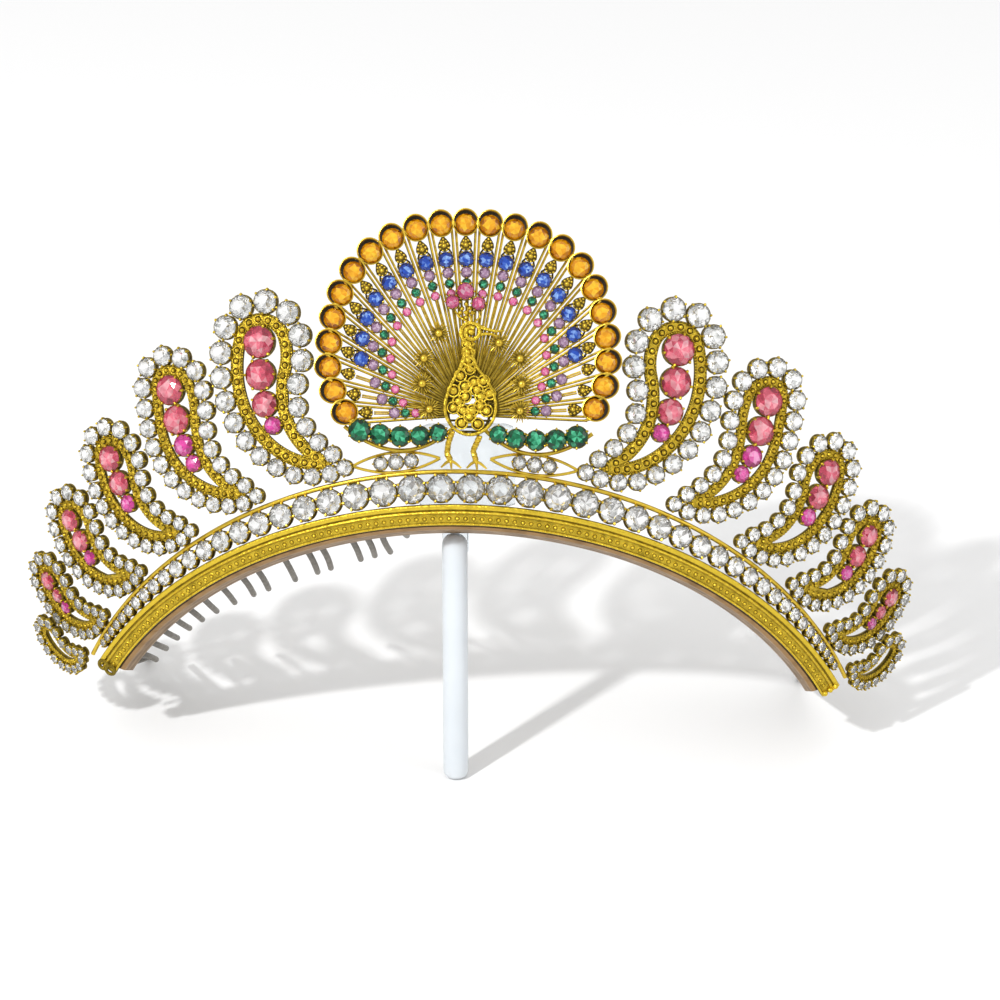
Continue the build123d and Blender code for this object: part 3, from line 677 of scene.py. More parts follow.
# Across the ribbon in half widths, height, wear with painted shade, dark along the outer edges
ribbonProfile = (
    (-0.9, -0.4, 0.6), (-1.0, -0.2, 0.4), (-1.0, 0.42, 0.12), (-0.94, 0.52, 0.45), (-0.78, 0.52, 0.2),
    (-0.68, 0.66, 0.62), (-0.4, 0.74, 0.72), (0.0, 0.76, 0.66), (0.4, 0.74, 0.72), (0.68, 0.66, 0.62),
    (0.78, 0.52, 0.2), (0.94, 0.52, 0.45), (1.0, 0.42, 0.12), (1.0, -0.2, 0.4), (0.9, -0.4, 0.6))


def arcChain(start, heading, corners):
    # Arcs that run on from one another: place, heading, curvature and length of each
    arcs, place, turn = [], Vector(start), atan2(heading[1], heading[0])
    for corner in corners:
        chord = Vector(corner) - place
        bend = atan2(chord.y, chord.x) - turn
        bend = (bend + pi) % (2 * pi) - pi
        curve = 2 * sin(bend) / chord.length
        arcs.append((place, turn, curve, 2 * bend / curve))
        place, turn = Vector(corner), turn + 2 * bend
    return arcs


def along(arcs, distance):
    for place, turn, curve, length in arcs:
        if distance <= length:
            break
        distance -= length
    ahead = turn + curve * min(distance, length)
    return place.x + (sin(ahead) - sin(turn)) / curve, place.y + (cos(turn) - cos(ahead)) / curve, ahead


def outerRow(arcs, width, height, headStone, tailStone):
    # Side, rise and size of the stones around a loop, the first at the tip of its tail
    total = sum(arc[3] for arc in arcs)
    choices = []
    for k in range(loops["steps"] + 1):
        distance = total * k / loops["steps"]
        x, y, ahead = along(arcs, distance)
        size = tailStone + (headStone - tailStone) * y / height
        taper = min(1.0, loops["stoneEnd"] + min(distance, total - distance) / (loops["taper"] * width))
        reach = taper * loops["ribbon"] * width / 2 + colletRadius(size) - 1.5 * rail["solder"]
        choices.append((x - sin(ahead) * reach, y + cos(ahead) * reach, size))

    def march(spread):
        found = choices[:1]
        for x, y, size in choices:
            reach = colletRadius(found[-1][2]) + colletRadius(size) + spread
            if hypot(x - found[-1][0], y - found[-1][1]) >= reach:
                found.append((x, y, size))
        return found

    count, spread = len(march(0.0)), 0.0
    while len(march(spread + 0.01)) == count:
        spread += 0.01
    x, y, _ = along(arcs, 0.0)
    reach, dip = loops["tipReach"] * colletRadius(tailStone), radians(loops["tipAngle"])
    return [(x - reach * cos(dip), y - reach * sin(dip), tailStone)] + march(spread)


def roseRow(width, height, sizes):
    found = []
    for side, size in zip(roseSides, sizes):
        side *= width
        if found:
            reach = colletRadius(size) + colletRadius(found[-1][2]) - rail["solder"]
            rise = found[-1][1] - (reach ** 2 - (side - found[-1][0]) ** 2) ** 0.5
        else:
            rise = height - loops["ribbon"] * width / 2 - colletRadius(size) + 1.5 * rail["solder"]
        found.append((side, rise, size))
    return found


def addRibbon(shape, flat, side, arcs, width):
    # The beaded ribbon of a loop, narrower towards its tail
    total = sum(arc[3] for arc in arcs)
    ribbon = loops["ribbon"] * width
    rows = []
    count = int(total / loops["stitch"])

    def half(distance):
        taper = loops["ribbonEnd"] + min(distance, total - distance) / (loops["taper"] * width)
        return loops["wider"] * ribbon / 2 * min(1.0, taper)

    for k in range(count):
        distance = total * k / (count - 1)
        x, y, ahead = along(arcs, distance)
        rows.append([flat @ Vector((side * (x - sin(ahead) * across * half(distance)),
                                    y + cos(ahead) * across * half(distance), height))
                     for across, height, _ in ribbonProfile])
    shape.add(skin(rows, [shadedWear for _, _, shadedWear in ribbonProfile]))
    beads = int((total - ribbon) / (ribbon * beading["pitch"]))
    for k in range(beads + 1):
        distance = ribbon * 0.5 + (total - ribbon) * k / beads
        x, y, ahead = along(arcs, distance)
        spot = moved(flat, side * x, y, beading["floor"], side * ahead, 2 * half(distance))
        shape.add(grooveShade, spot)
        shape.add(dome(beading["bead"], beading["tall"], 12, 4, 0.3), spot)
        shape.add(ringWire(beading["hoop"], beading["hoopWire"], 16, 5),
                  moved(spot, 0, 0, beading["hoopRise"]))
    grain = dome(beading["grain"], beading["grain"], 6, 2, 0.45)
    count = int(total / beading["grainPitch"])
    for k in range(count):
        distance = total * (k + 0.5) / count
        x, y, ahead = along(arcs, distance)
        for edge in (-beading["grainSide"], beading["grainSide"]):
            reach = edge * half(distance)
            shape.add(grain, moved(flat, side * (x - sin(ahead) * reach), y + cos(ahead) * reach,
                                   beading["grainRise"]))


# A flat dark ring between each ribbon bead and its hoop, painted shade in the gap
grooveShade = lathe([(beading["hoop"], beading["grooveShade"], 0.1),
                (beading["bead"] * 0.8, beading["grooveShade"], 0.0)], 16)
for side, word in ((-1, "Left"), (1, "Right")):
    roses = Shape()
    for number, row in enumerate(paisleys, 1):
        foot, turn, width, height, headStone, tailStone, roseSizes = row
        angle = side * foot + loops["turn"]
        arcs = arcChain((loopCorners[0][0] * width, loopCorners[0][1] * height),
                        (width, loops["heading"] * height),
                        [(x * width, y * height) for x, y in loopCorners[1:]])
        outer = outerRow(arcs, width, height, headStone, tailStone)
        inner = roseRow(width, height, roseSizes)
        lift = loops["railClear"] - min(y - colletRadius(size) for _, y, size in outer)
        flat = moved(facing(angle, *railAt(angle), loops["splay"], angle + side * turn), 0, lift)
        metal, stones = Shape(), Shape()
        addRibbon(metal, flat, side, arcs, width)
        low, high = -loops["behind"], loops["collet"] - loops["behind"]
        girdle = high - 0.2
        for x, y, size in outer:
            setStone(metal, stones, moved(flat, side * x, y), colletRadius(size), low, girdle, loops["claws"],
                     dice.uniform(0, 1))
        for place, (x, y, size) in enumerate(inner):
            setStone(metal, roses, moved(flat, side * x, y), colletRadius(size), low, girdle, loops["claws"],
                     dice.uniform(0, 1), 1.0 if place >= roseTones[number - 1] else 0.0)
        if inner:
            x, y, size = inner[-1]
            for way in (-1, 1):
                start = side * x + way * colletRadius(size) * roseBar["start"]
                end = side * x + way * roseBar["reach"] * width
                metal.add(tube([(start, y, roseBar["height"]), (end, y + roseBar["rise"], roseBar["height"])],
                               roseBar["wire"]), flat)
        lower = word.lower()
        makePiece(f"paisley{word}{number}", metal, oldGiltPaint, "gilt", f"paisley_{lower}_{number}")
        nodes = [f"paisley_{lower}_{number}_stones"] if number <= 2 else []
        makePiece(f"paisley{word}{number}Stones", stones, clearPaint, "clear_stone", *nodes, smooth=False)
    makePiece(f"roses{word}", roses, rosePaint, "rose_stone", f"{word.lower()}_roses", smooth=False)


# Peacock's tail

fan = {"hubSide": -0.8, "hubRise": 11.5, "hubRing": 4.1, "hubWire": 0.3, "hubLift": 0.55,
       "offset": (-0.5, 10.3), "radius": 28.6, "swell": 0.8, "pinch": 14.0, "first": 204.0, "last": -18.5,
       "count": 23, "plain": 3, "amber": 4.2, "ribWire": 0.27, "ribGap": 0.27, "ribRise": 0.75,
       "ribSpread": 1.5, "shaftWire": 0.19, "shaftGap": 0.2, "shaftRise": 0.45, "shaftEnd": 5.6,
       "hubGap": 0.75}
# Share of the way from the hub ring and wear with painted shade along each wire of the fan, darker towards
# the hub
fanSteps = ((0, 0.25), (0.15, 0.45), (0.35, 0.6), (0.65, 0.75), (1.0, 0.85))
cup = {"rim": 2.62, "stone": -0.06, "stoneRise": 1.4, "lean": 0.2, "flare": 0.05, "farWall": 0.42}
# Radius, height and wear around a cup's wall, outside first; the inner wall is painted shade
cupProfile = ((1.85, 0.0, 0.3), (2.1, 0.05, 0.5), (2.4, 0.9, 0.7), (2.62, 1.75, 0.9), (2.66, 2.0, 1.0),
              (2.46, 2.06, 1.0), (2.36, 1.88, 0.4), (2.26, 1.5, 0.0), (2.14, 1.25, 0.0), (2.02, 0.5, 0.0),
              (1.8, 0.0, 0.0))
# Two short wires between neighbouring cups: side, way out and height
tie = {"path": ((0.45, -0.9, 0.95), (0.2, 0.2, 1.6), (0, 0.9, 2.0)), "radii": (0.2, 0.3, 0.16)}
feather = {"leaf": 4.4, "leafGrow": 1.32, "leafRise": 0.9, "leafShade": 0.22, "leafSides": 10, "sapphire": 7.1,
           "sapphireSize": 2.75, "seat": 0.2, "girdle": 1.4,
           "clip": ((1.1, -0.2, 0.7), (1.25, 1.4, 0.8), (0.6, 2.5, 0.9)), "clipWire": 0.2,
           "buds": ((9.7, 2.15), (11.9, 1.8), (13.95, 1.65)), "budWall": 0.16, "budSeat": 0.3,
           "budGirdle": 1.2}
# Along a leaf, half width and half height
leafRows = ((-0.75, 0.30, 0.35), (-0.5, 0.75, 0.55), (0.0, 0.98, 0.8), (0.55, 0.85, 0.75),
            (1.1, 0.5, 0.5), (1.5, 0.2, 0.3), (1.75, 0.04, 0.15))
# Side, way along, height and radius of a leaf's granules
leafGrains = ((0, 0.05, 1.55, 0.42), (-0.55, 0.25, 1.35, 0.24), (0.55, 0.25, 1.35, 0.24),
              (-0.35, 0.75, 1.35, 0.22), (0.35, 0.75, 1.35, 0.22), (0, 1.1, 1.3, 0.22),
              (-0.65, -0.3, 1.2, 0.22), (0.65, -0.3, 1.2, 0.22), (0, 1.55, 1.1, 0.17),
              (-0.30, -0.60, 1.2, 0.2), (0.30, -0.60, 1.2, 0.2), (0, 0.62, 1.5, 0.22))
emeraldRow = {"places": ((6.0, -4.0), (9.6, -4.75), (13.6, -4.95), (17.6, -4.7), (21.7, -4.0)),
              "sizes": (3.0, 3.4, 3.5, 3.6, 3.9), "girdle": 1.8,
              "bow": ((3.2, -3.0), (13.6, -7.7), (24.8, -3.2)), "wire": 0.42, "wireRise": 0.5, "steps": 20}
rosettes = {"places": ((-6.5, 15.9), (-9.3, 10.8), (-9.5, 5.7), (-7.9, 0.6), (9.9, 11.3), (10.4, 6.2),
                       (10.2, 0.8), (5.6, 14.3)),
            "spikes": 24, "reach": 2.4, "shorter": 0.82, "low": 0.3, "high": 0.62,
            "root": (0.4, 0.55), "bend": (0.7, 0.1), "wires": (0.17, 0.16, 0.07), "bead": 0.86,
            "tall": 0.8, "beadRise": 0.6, "raise": 1.2}
# Radius, height and wear of a rosette's dark base, a disc of painted shade under its spikes
rosetteShadeBase = ((1.15, 0, 0.0), (1.1, 0.35, 0.0), (0.9, 0.55, 0.0), (0, 0.6, 0.1))

tail = moved(facing(0, railFront, railHeight, loops["splay"]), fan["hubSide"], fan["hubRise"])


def amberPlace(index):
    angle = radians(fan["first"] + index * (fan["last"] - fan["first"]) / (fan["count"] - 1))
    reach = fan["radius"] - fan["swell"] * cos(4 * angle) - fan["pinch"] * min(0, sin(angle)) ** 2
    return fan["offset"][0] + reach * cos(angle), fan["offset"][1] + reach * sin(angle)


def onFeather(index, distance):
    x, y = amberPlace(index)
    share = 1 - distance / hypot(x, y)
    return x * share, y * share


def addPair(shape, where, start, end, gap, wire, rise, spread=1.0):
    # Two wires side by side that open a little towards their far end
    start, end = Vector((*start, rise)), Vector((*end, rise))
    way = (end - start).normalized()
    side = Vector((-way.y, way.x, 0))
    inner = fan["hubRing"] / (end - start).length
    for flip in (-1, 1):
        path = []
        for share, _ in fanSteps:
            t = inner + (1 - inner) * share
            apart = gap * (fan["hubGap"] + (spread - fan["hubGap"]) * t)
            path.append(start.lerp(end, t) + side * flip * apart)
        shape.add(tube(path, wire, 6, wear=[shadedWear for _, shadedWear in fanSteps]), where)


def cupPart():
    # A deep cup whose far wall rises and leans outwards, painted dark inside as shade with its far wall
    # lighter as painted light; local y points away from the hub
    points, faces, wear = lathe(cupProfile, 40, loop=True)
    wear = [cup["farWall"] * max(0, -y / cup["rim"]) if shadedWear < 0.05 else shadedWear
            for (x, y, z), shadedWear in zip(points, wear)]
    leant = [(x, y + cup["lean"] * z * (0.6 + 0.4 * y / cup["rim"]), z + cup["flare"] * max(0, y) * z)
             for x, y, z in points]
    return leant, faces, wear


def leafPart():
    # A granulated leaf that points along y, with a bead near its foot; its body is painted dark as shade
    # under the bright granules
    sides = feather["leafSides"]
    turns = [pi * 2 * j / sides for j in range(sides)]
    rows = [[(half * cos(turn), y, feather["leafRise"] + tall * sin(turn)) for turn in turns]
            for y, half, tall in leafRows]
    return [skin(rows, [feather["leafShade"]] * sides)] + [
        shifted(ball(size, 8, 5, 0.85), (x, y, z)) for x, y, z, size in leafGrains]


def rosettePart():
    # Spikes of wire around a raised bead
    parts = [shifted(dome(rosettes["bead"], rosettes["tall"]), (0, 0, rosettes["beadRise"])),
             lathe(rosetteShadeBase, 18)]
    bendShare, bendRise = rosettes["bend"]
    for k in range(rosettes["spikes"]):
        angle = 2 * pi * k / rosettes["spikes"]
        reach = rosettes["reach"] * (1.0 if k % 2 else rosettes["shorter"])
        rise = rosettes["low"] if k % 2 else rosettes["high"]
        path = [(far * cos(angle), far * sin(angle), z)
                for far, z in (rosettes["root"], (reach * bendShare, rise + bendRise), (reach, rise))]
        # Each spike is painted dark at its root as shade and bright at its tip
        parts.append(tube(path, rosettes["wires"], 5, wear=(0.05, 0.65, 1.0)))
    return parts


def mirrored(points, flip):
    return [(flip * x, y, z) for x, y, z in points]


ribs, ambers, sapphires, emeralds = Shape(), Shape(), Shape(), Shape()
purples, greens, pinks = Shape(), Shape(), Shape()
ribs.add(shifted(ringWire(fan["hubRing"], fan["hubWire"], 48, 7, 0.3), (0, 0, fan["hubLift"])), tail)
for k in range(fan["count"] + 1):
    x, y = amberPlace(k - 0.5)
    addPair(ribs, tail, (0, 0), (x, y), fan["ribGap"], fan["ribWire"], fan["ribRise"], fan["ribSpread"])
    place = moved(tail, x, y, 0, atan2(y, x) - pi / 2)
    for flip in (-1, 1):
        ribs.add(tube(mirrored(tie["path"], flip), tie["radii"], 6), place)
cupMade, leafMade, rosetteMade = cupPart(), leafPart(), rosettePart()
for k in range(fan["count"]):
    x, y = amberPlace(k)
    turn = atan2(y, x) - pi / 2
    place = moved(tail, x, y, 0, turn)
    ribs.add(cupMade, place)
    addGem(ambers, moved(place, 0, cup["stone"], cup["stoneRise"]), fan["amber"])
    addPair(ribs, tail, (0, 0), onFeather(k, fan["shaftEnd"]), fan["shaftGap"], fan["shaftWire"],
            fan["shaftRise"])
    place = moved(tail, *onFeather(k, feather["leaf"]), 0, turn, feather["leafGrow"])
    for part in leafMade:
        ribs.add(part, place)
    if fan["plain"] <= k < fan["count"] - fan["plain"]:   # the lowest feathers have no blue stone
        place = moved(tail, *onFeather(k, feather["sapphire"]), 0, turn)
        setStone(ribs, sapphires, place, colletRadius(feather["sapphireSize"]) - 0.1, feather["seat"],
                 feather["girdle"], 6)
        # The clip wires are painted dark as shade between leaf and stone
        for flip in (-1, 1):
            ribs.add(tube(mirrored(feather["clip"], flip), feather["clipWire"], 5, wear=0.05), place)
    for (distance, size), shape in zip(feather["buds"], (purples, greens, pinks)):
        place = moved(tail, *onFeather(k, distance), 0, turn)
        setStone(ribs, shape, place, size / 2 + feather["budWall"], feather["budSeat"],
                 feather["budGirdle"], 4)
for flip in (-1, 1):
    for (x, y), size in zip(emeraldRow["places"], emeraldRow["sizes"]):
        setStone(ribs, emeralds, moved(tail, flip * x, y), colletRadius(size), 0.0,
                 emeraldRow["girdle"], 6, pi / 6)
    (ax, ay), (bx, by), (cx, cy) = emeraldRow["bow"]   # the wire below bends through these
    path = []
    for k in range(emeraldRow["steps"] + 1):
        t = k / emeraldRow["steps"]
        first, second, third = 2 * (t - 0.5) * (t - 1), 4 * t * (1 - t), 2 * t * (t - 0.5)
        path.append((flip * (ax * first + bx * second + cx * third), ay * first + by * second + cy * third,
                     emeraldRow["wireRise"]))
    ribs.add(tube(path, emeraldRow["wire"], 8), tail)
for x, y in rosettes["places"]:
    for part in rosetteMade:
        ribs.add(part, moved(tail, x, y, rosettes["raise"]))
makePiece("tailFan", ribs, giltPaint, "gilt", "peacock_tail")
makePiece("amberStonesCut", ambers, amberPaint, "amber_stone", "amber_stones", smooth=False)
makePiece("sapphireStonesCut", sapphires, bluePaint, "blue_stone", "sapphires", smooth=False)
makePiece("emeraldStonesCut", emeralds, greenPaint, "green_stone", "emeralds", smooth=False)
makePiece("featherPurples", purples, purplePaint, "rose_stone", smooth=False)
makePiece("featherGreens", greens, greenPaint, "green_stone", smooth=False)
makePiece("featherPinks", pinks, pinkPaint, "rose_stone", smooth=False)


# Peacock's body, head and crest

bird = {"lift": 1.15, "plate": 0.4, "plateThick": 0.12, "outline": 0.34, "outlineRise": 0.6, "slim": 0.92,
        "bottom": (0.3, -4.2), "bar": 0.24, "barRise": 0.25, "steps": 40, "barEvery": 3, "hoop": 1.18,
        "hoopWire": 0.19, "bead": 0.84, "beadTall": 0.62, "plateWide": 0.98, "neckFrom": 8, "neckGrow": 0.9}
neck = {"wind": 1.35, "narrower": 0.2, "side": -0.4, "start": 8.5, "pitch": 0.24, "rise": 0.65,
        "depth": 0.2, "wire": 0.3, "halfTurn": 8, "steps": 24}
volute = {"middle": (0.0, 16.3), "reach": 2.3, "turns": 1.6, "taper": 0.62, "low": 0.45, "climb": 0.4,
          "wire": 0.44, "steps": 48, "eye": 0.75, "eyeTall": 0.7, "eyeRise": 0.3}
birdSides = (((-1, 0), ((-5.1, 2.6), (-2.4, 8.6), (-1.2, 12.8))),
             ((1, 0), ((5.7, 2.4), (2.6, 8.0), (0.2, 12.8))))
birdBeads = ((-0.8, 14.0), (-0.7, 12.3), (-0.5, 10.7), (-0.1, 8.9), (-2.1, 7.5), (0.9, 6.3), (3.0, 6.6),
             (-3.5, 4.5), (-0.9, 3.4), (2.5, 3.5), (4.4, 4.1), (-3.4, 1.1), (0.8, 0.7), (3.8, 0.7),
             (-1.5, -1.9), (2.0, -2.0), (-1.0, 5.4), (1.6, 4.8), (-2.3, 2.4), (-1.3, 0.6), (2.4, 1.6),
             (0.2, -0.6))
# Side, rise, height and radius along the two halves of the beak
beak = (((0.9, 18.0, 0.5, 0.36), (2.6, 17.1, 0.7, 0.36), (4.8, 16.6, 0.7, 0.3), (6.6, 16.8, 0.5, 0.14)),
        ((5.2, 15.6, 0.5, 0.14), (4.2, 16.0, 0.55, 0.3), (3.0, 16.1, 0.5, 0.32), (1.6, 15.8, 0.4, 0.32)))
crest = {"places": ((-1.4, 24.4), (-3.9, 22.2), (1.3, 22.0)), "sizes": (2.9, 2.2, 2.2), "girdle": 1.7,
         "wires": (((-0.5, 18.2), (-2.7, 19.4), (-3.6, 21.0)), ((0.4, 18.2), (1.6, 19.4), (1.3, 20.7)),
                   ((0.0, 18.3), (-0.7, 20.5), (-1.2, 22.8))), "wire": 0.2, "wireRise": 0.4,
         "balls": ((-1.2, 20.2), (-2.0, 21.0), (-0.4, 21.1), (-1.2, 21.9), (-2.4, 20.1), (0.1, 20.2),
                   (-1.2, 19.2)), "ball": 0.5, "ballRise": 0.75}

body = moved(tail, 0, 0, bird["lift"])
birdMetal, crestStones = Shape(), Shape()
borders = []
for heading, corners in birdSides:
    arcs = arcChain(bird["bottom"], heading, corners)
    total = sum(arc[3] for arc in arcs)
    borders.append([along(arcs, total * k / bird["steps"]) for k in range(bird["steps"] + 1)])
low = [(x, y) for x, y, _ in borders[0]]
high = [(x, y) for x, y, _ in borders[1]]
# The cross bars sit low and are painted dark as shade
for k in range(2, bird["steps"] - 2, bird["barEvery"]):
    (leftX, leftY), (rightX, rightY) = low[k], high[k]
    ends = ((leftX * bird["slim"], leftY, bird["barRise"]), (rightX * bird["slim"], rightY, bird["barRise"]))
    birdMetal.add(tube(ends, bird["bar"], 6, wear=0.12), body)
for edge in borders:
    path = [(x * bird["slim"], y, bird["outlineRise"]) for x, y, _ in edge]
    birdMetal.add(tube(path, bird["outline"], 8, wear=0.75), body)
birdBead = dome(bird["bead"], bird["beadTall"])
birdHoop = ringWire(bird["hoop"], bird["hoopWire"])
wide, thick = bird["hoop"] * bird["plateWide"], bird["plateThick"]
# A dark disc under each bead, painted shade around it
birdShadePlate = lathe([(wide, 0.0, 0.05), (wide, thick, 0.05), (0, thick, 0.05)], 14)
for x, y in birdBeads:
    grow = 1.0 if y < bird["neckFrom"] else bird["neckGrow"]
    for part, rise in ((birdShadePlate, 0), (birdBead, 0), (birdHoop, thick)):
        birdMetal.add(part, moved(body, x * bird["slim"], y, bird["plate"] + rise, 0, grow))
for flip in (-1, 1):   # two wires wind up the neck
    path = []
    for k in range(neck["steps"] + 1):
        angle = pi * k / neck["halfTurn"]
        wind = neck["wind"] * (1 - neck["narrower"] * k / neck["steps"])
        path.append((flip * wind * cos(angle) + neck["side"], neck["start"] + k * neck["pitch"],
                     neck["rise"] + neck["depth"] * sin(angle) * flip))
    birdMetal.add(tube(path, neck["wire"], 6), body)
headX, headY = volute["middle"]
path = []
for k in range(volute["steps"] + 1):   # the head is a wire rolled up into a volute
    share = k / volute["steps"]
    angle = -pi / 2 - 2 * pi * volute["turns"] * share
    reach = volute["reach"] * (1 - volute["taper"] * share)
    path.append((headX + reach * cos(angle), headY + reach * sin(angle),
                 volute["low"] + volute["climb"] * share))
birdMetal.add(tube(path, volute["wire"], 8), body)
birdMetal.add(dome(volute["eye"], volute["eyeTall"]), moved(body, headX, headY, volute["eyeRise"]))
for rows in beak:
    birdMetal.add(tube([row[:3] for row in rows], [row[3] for row in rows], 8), body)
for points in crest["wires"]:
    birdMetal.add(tube([(x, y, crest["wireRise"]) for x, y in points], crest["wire"], 7), body)
for x, y in crest["balls"]:
    birdMetal.add(ball(crest["ball"], 10, 6, 1.0), moved(body, x, y, crest["ballRise"]))
for (x, y), size in zip(crest["places"], crest["sizes"]):
    setStone(birdMetal, crestStones, moved(body, x, y), colletRadius(size), 0.0, crest["girdle"], 6, 0.0, 0.5)
makePiece("peacockBird", birdMetal, oldGiltPaint, "gilt", "peacock_body")
makePiece("crestStonesCut", crestStones, rosePaint, "rose_stone", "crest_stones", smooth=False)


# Legs

legs = {"strand": 0.35, "wind": 0.31, "turns": 1.1, "rise": 0.45, "ankle": 0.42,
        "Left": ((-3.2, -3.7), (-3.9, -6.0), (-4.1, -8.1), (-3.4, -9.4)),
        "Right": ((2.3, -4.5), (1.1, -7.3), (1.7, -9.4)),
        "toes": ((2.2, -1.5), (0.3, -1.7), (-1.8, -1.5)), "toeWires": (0.34, 0.3, 0.18),
        "knuckle": (0.5, 0.4, 0.6), "toeEnd": 0.4, "stitches": 8}


def twisted(points, strands, wind, turns, wire, rise):
    # Strands wound about a bent line; turns is windings for each millimetre
    points = [Vector((*point, rise)) for point in points]
    lengths = [(after - before).length for before, after in zip(points, points[1:])]
    total = sum(lengths)
    paths = [[] for _ in range(strands)]
    count = int(total * legs["stitches"])
    for k in range(count + 1):
        distance = total * k / count
        left = distance
        for before, after, length in zip(points, points[1:], lengths):
            if left <= length:
                break
            left -= length
        middle = before.lerp(after, min(1, left / length))
        way = (after - before).normalized()
        across = Vector((-way.y, way.x, 0))
        for strand in range(strands):
            angle = 2 * pi * (turns * distance + strand / strands)
            paths[strand].append(middle + across * cos(angle) * wind + Vector((0, 0, sin(angle) * wind)))
    return [tube(path, wire, 6, wear=0.9) for path in paths]


bendX, bendY, bendRise = legs["knuckle"]
for word in ("Left", "Right"):
    leg = Shape()
    for part in twisted(legs[word], 2, legs["wind"], legs["turns"], legs["strand"], legs["rise"]):
        leg.add(part, body)
    x, y = legs[word][-1]
    for stepX, stepY in legs["toes"]:
        toe = ((x, y, legs["rise"]), (x + stepX * bendX, y + stepY * bendY, bendRise),
               (x + stepX, y + stepY, legs["toeEnd"]))
        leg.add(tube(toe, legs["toeWires"], 7), body)
    leg.add(ball(legs["ankle"]), moved(body, x, y, legs["rise"]))
    makePiece(f"peacockLeg{word}", leg, giltPaint, "gilt", f"peacock_{word.lower()}_leg")


# Almond loops

almond = {"middle": 8.75, "half": 8.9, "belly": 2.0, "rise": 2.45, "wire": 0.3, "wireRise": 0.5,
          "girdle": 1.4, "sizes": (2.2, 2.5, 2.2), "pitch": 3.1, "steps": 24}
for side, word in ((-1, "Left"), (1, "Right")):
    angle = loops["turn"] + side * almond["middle"]
    flat = moved(facing(angle, *railAt(angle), loops["splay"]), 0, almond["rise"], -loops["behind"])
    metal, stones = Shape(), Shape()
    for belly in (-almond["belly"], almond["belly"]):
        path = []
        for k in range(almond["steps"] + 1):
            x = almond["half"] * (2 * k / almond["steps"] - 1)
            path.append((x, belly * (1 - (x / almond["half"]) ** 2), almond["wireRise"]))
        metal.add(tube(path, almond["wire"], 8), flat)
    for k, size in enumerate(almond["sizes"]):
        place = moved(flat, (k - 1) * almond["pitch"], 0)
        setStone(metal, stones, place, colletRadius(size), 0.0, almond["girdle"], 6)
    node = f"almond_{word.lower()}"
    makePiece(f"almond{word}", metal, giltPaint, "gilt", node)
    makePiece(f"almond{word}Stones", stones, clearPaint, "clear_stone", f"{node}_stones", smooth=False)


# Comb's heading strip, which narrows a little to its back
comb = {"inset": 0.15, "wall": 1.2, "depth": 8.0, "halfAngle": 63.5, "slope": 25.0, "steps": 160}
# Inwards from the band, share of the depth, wear with painted shade: a dark line along the band's edge and a
# dark outer face behind it
combProfile = ((0.0, 0.0, 0.0), (0.16, 0.0, 0.15), (0.3, -0.02, 0.8), (1.0, -0.02, 0.95),
               (1.2, 0.02, 1.0), (1.45, 0.25, 0.5), (1.7, 0.5, 0.75), (1.95, 0.75, 0.4), (2.2, 0.97, 0.9),
               (2.1, 1.0, 0.6), (-0.3, 1.0, 0.0), (-0.3, 0.24, 0.0), (0.0, 0.1, 0.0))
backDown = turned((0, cos(radians(comb["slope"])), -sin(radians(comb["slope"]))))


def onComb(angle, inwards, depth):
    return onRing(angle, arch["radius"] - comb["inset"] - inwards, 0.0) + backDown * depth


def combBar(profile):
    # A bar that follows the comb's arch; the profile has its depth inwards, its depth back and its wear with
    # painted shade
    rows = []
    for k in range(comb["steps"] + 1):
        angle = comb["halfAngle"] * (2 * k / comb["steps"] - 1)
        rows.append([onComb(angle, inwards, depth) for inwards, depth, _ in profile])
    return skin(rows, [shadedWear for _, _, shadedWear in profile])


strip = Shape()
strip.add(combBar([(inwards, share * comb["depth"], shadedWear) for inwards, share, shadedWear in combProfile]))
makePiece("combStrip", strip, copperPaint, "copper", "comb_heading")


# Stand: a round post and the flat blade behind the comb
stand = {"radius": 2.6, "foot": 1.6, "top": 55.9, "dome": 2.4, "sides": 48, "bladeFront": 1.85,
         "bladeThick": 1.5, "edge": 0.3, "middle": 2.6, "high": 68.0}
bladeCorners = ((-2.5, 50.8), (2.5, 50.8), (2.5, 57.0), (3.6, 58.6), (12.3, 61.5), (12.3, 76.8),
                (11.8, 78.4), (10.3, 79.0), (-5.1, 79.0), (-6.6, 78.4), (-7.1, 76.8), (-7.1, 61.5),
                (-3.6, 58.6), (-2.5, 57.0))


def postProfile():
    # Rounded foot, straight post, domed top
    profile = [(0.0, 0.0, 1.0)]
    turns = [pi / 2 * k / 6 for k in range(7)]
    for angle in turns:
        profile.append((stand["radius"] - stand["foot"] * (1 - sin(angle)),
                        stand["foot"] * (1 - cos(angle)), 1.0))
    for angle in turns[:-1]:
        profile.append((stand["radius"] * cos(angle), stand["top"] - stand["dome"] * (1 - sin(angle)), 1.0))
    return profile + [(0.0, stand["top"], 1.0)]


def bladeRow(inset, depth):
    # The blade's outline at one depth, drawn in a little where its edges are rounded
    return [(x - inset * (1 if x > stand["middle"] else -1), stand["bladeFront"] + depth,
             z - inset * (1 if z > stand["high"] else -1)) for x, z in bladeCorners]


post, blade = Shape(), Shape()
post.add(lathe(postProfile(), stand["sides"]))
edge, thick = stand["edge"], stand["bladeThick"]
half = edge * 0.3
rows = [bladeRow(inset, depth) for inset, depth in (
    (edge, 0.0), (half, half), (0.0, edge), (0.0, thick - edge), (half, thick - half), (edge, thick))]
blade.add(skin(rows, [1.0] * len(bladeCorners)))
makePiece("standPost", post, whitePlasticPaint, "acrylic", "stand")
makePiece("standBlade", blade, clearPlasticPaint, "acrylic")


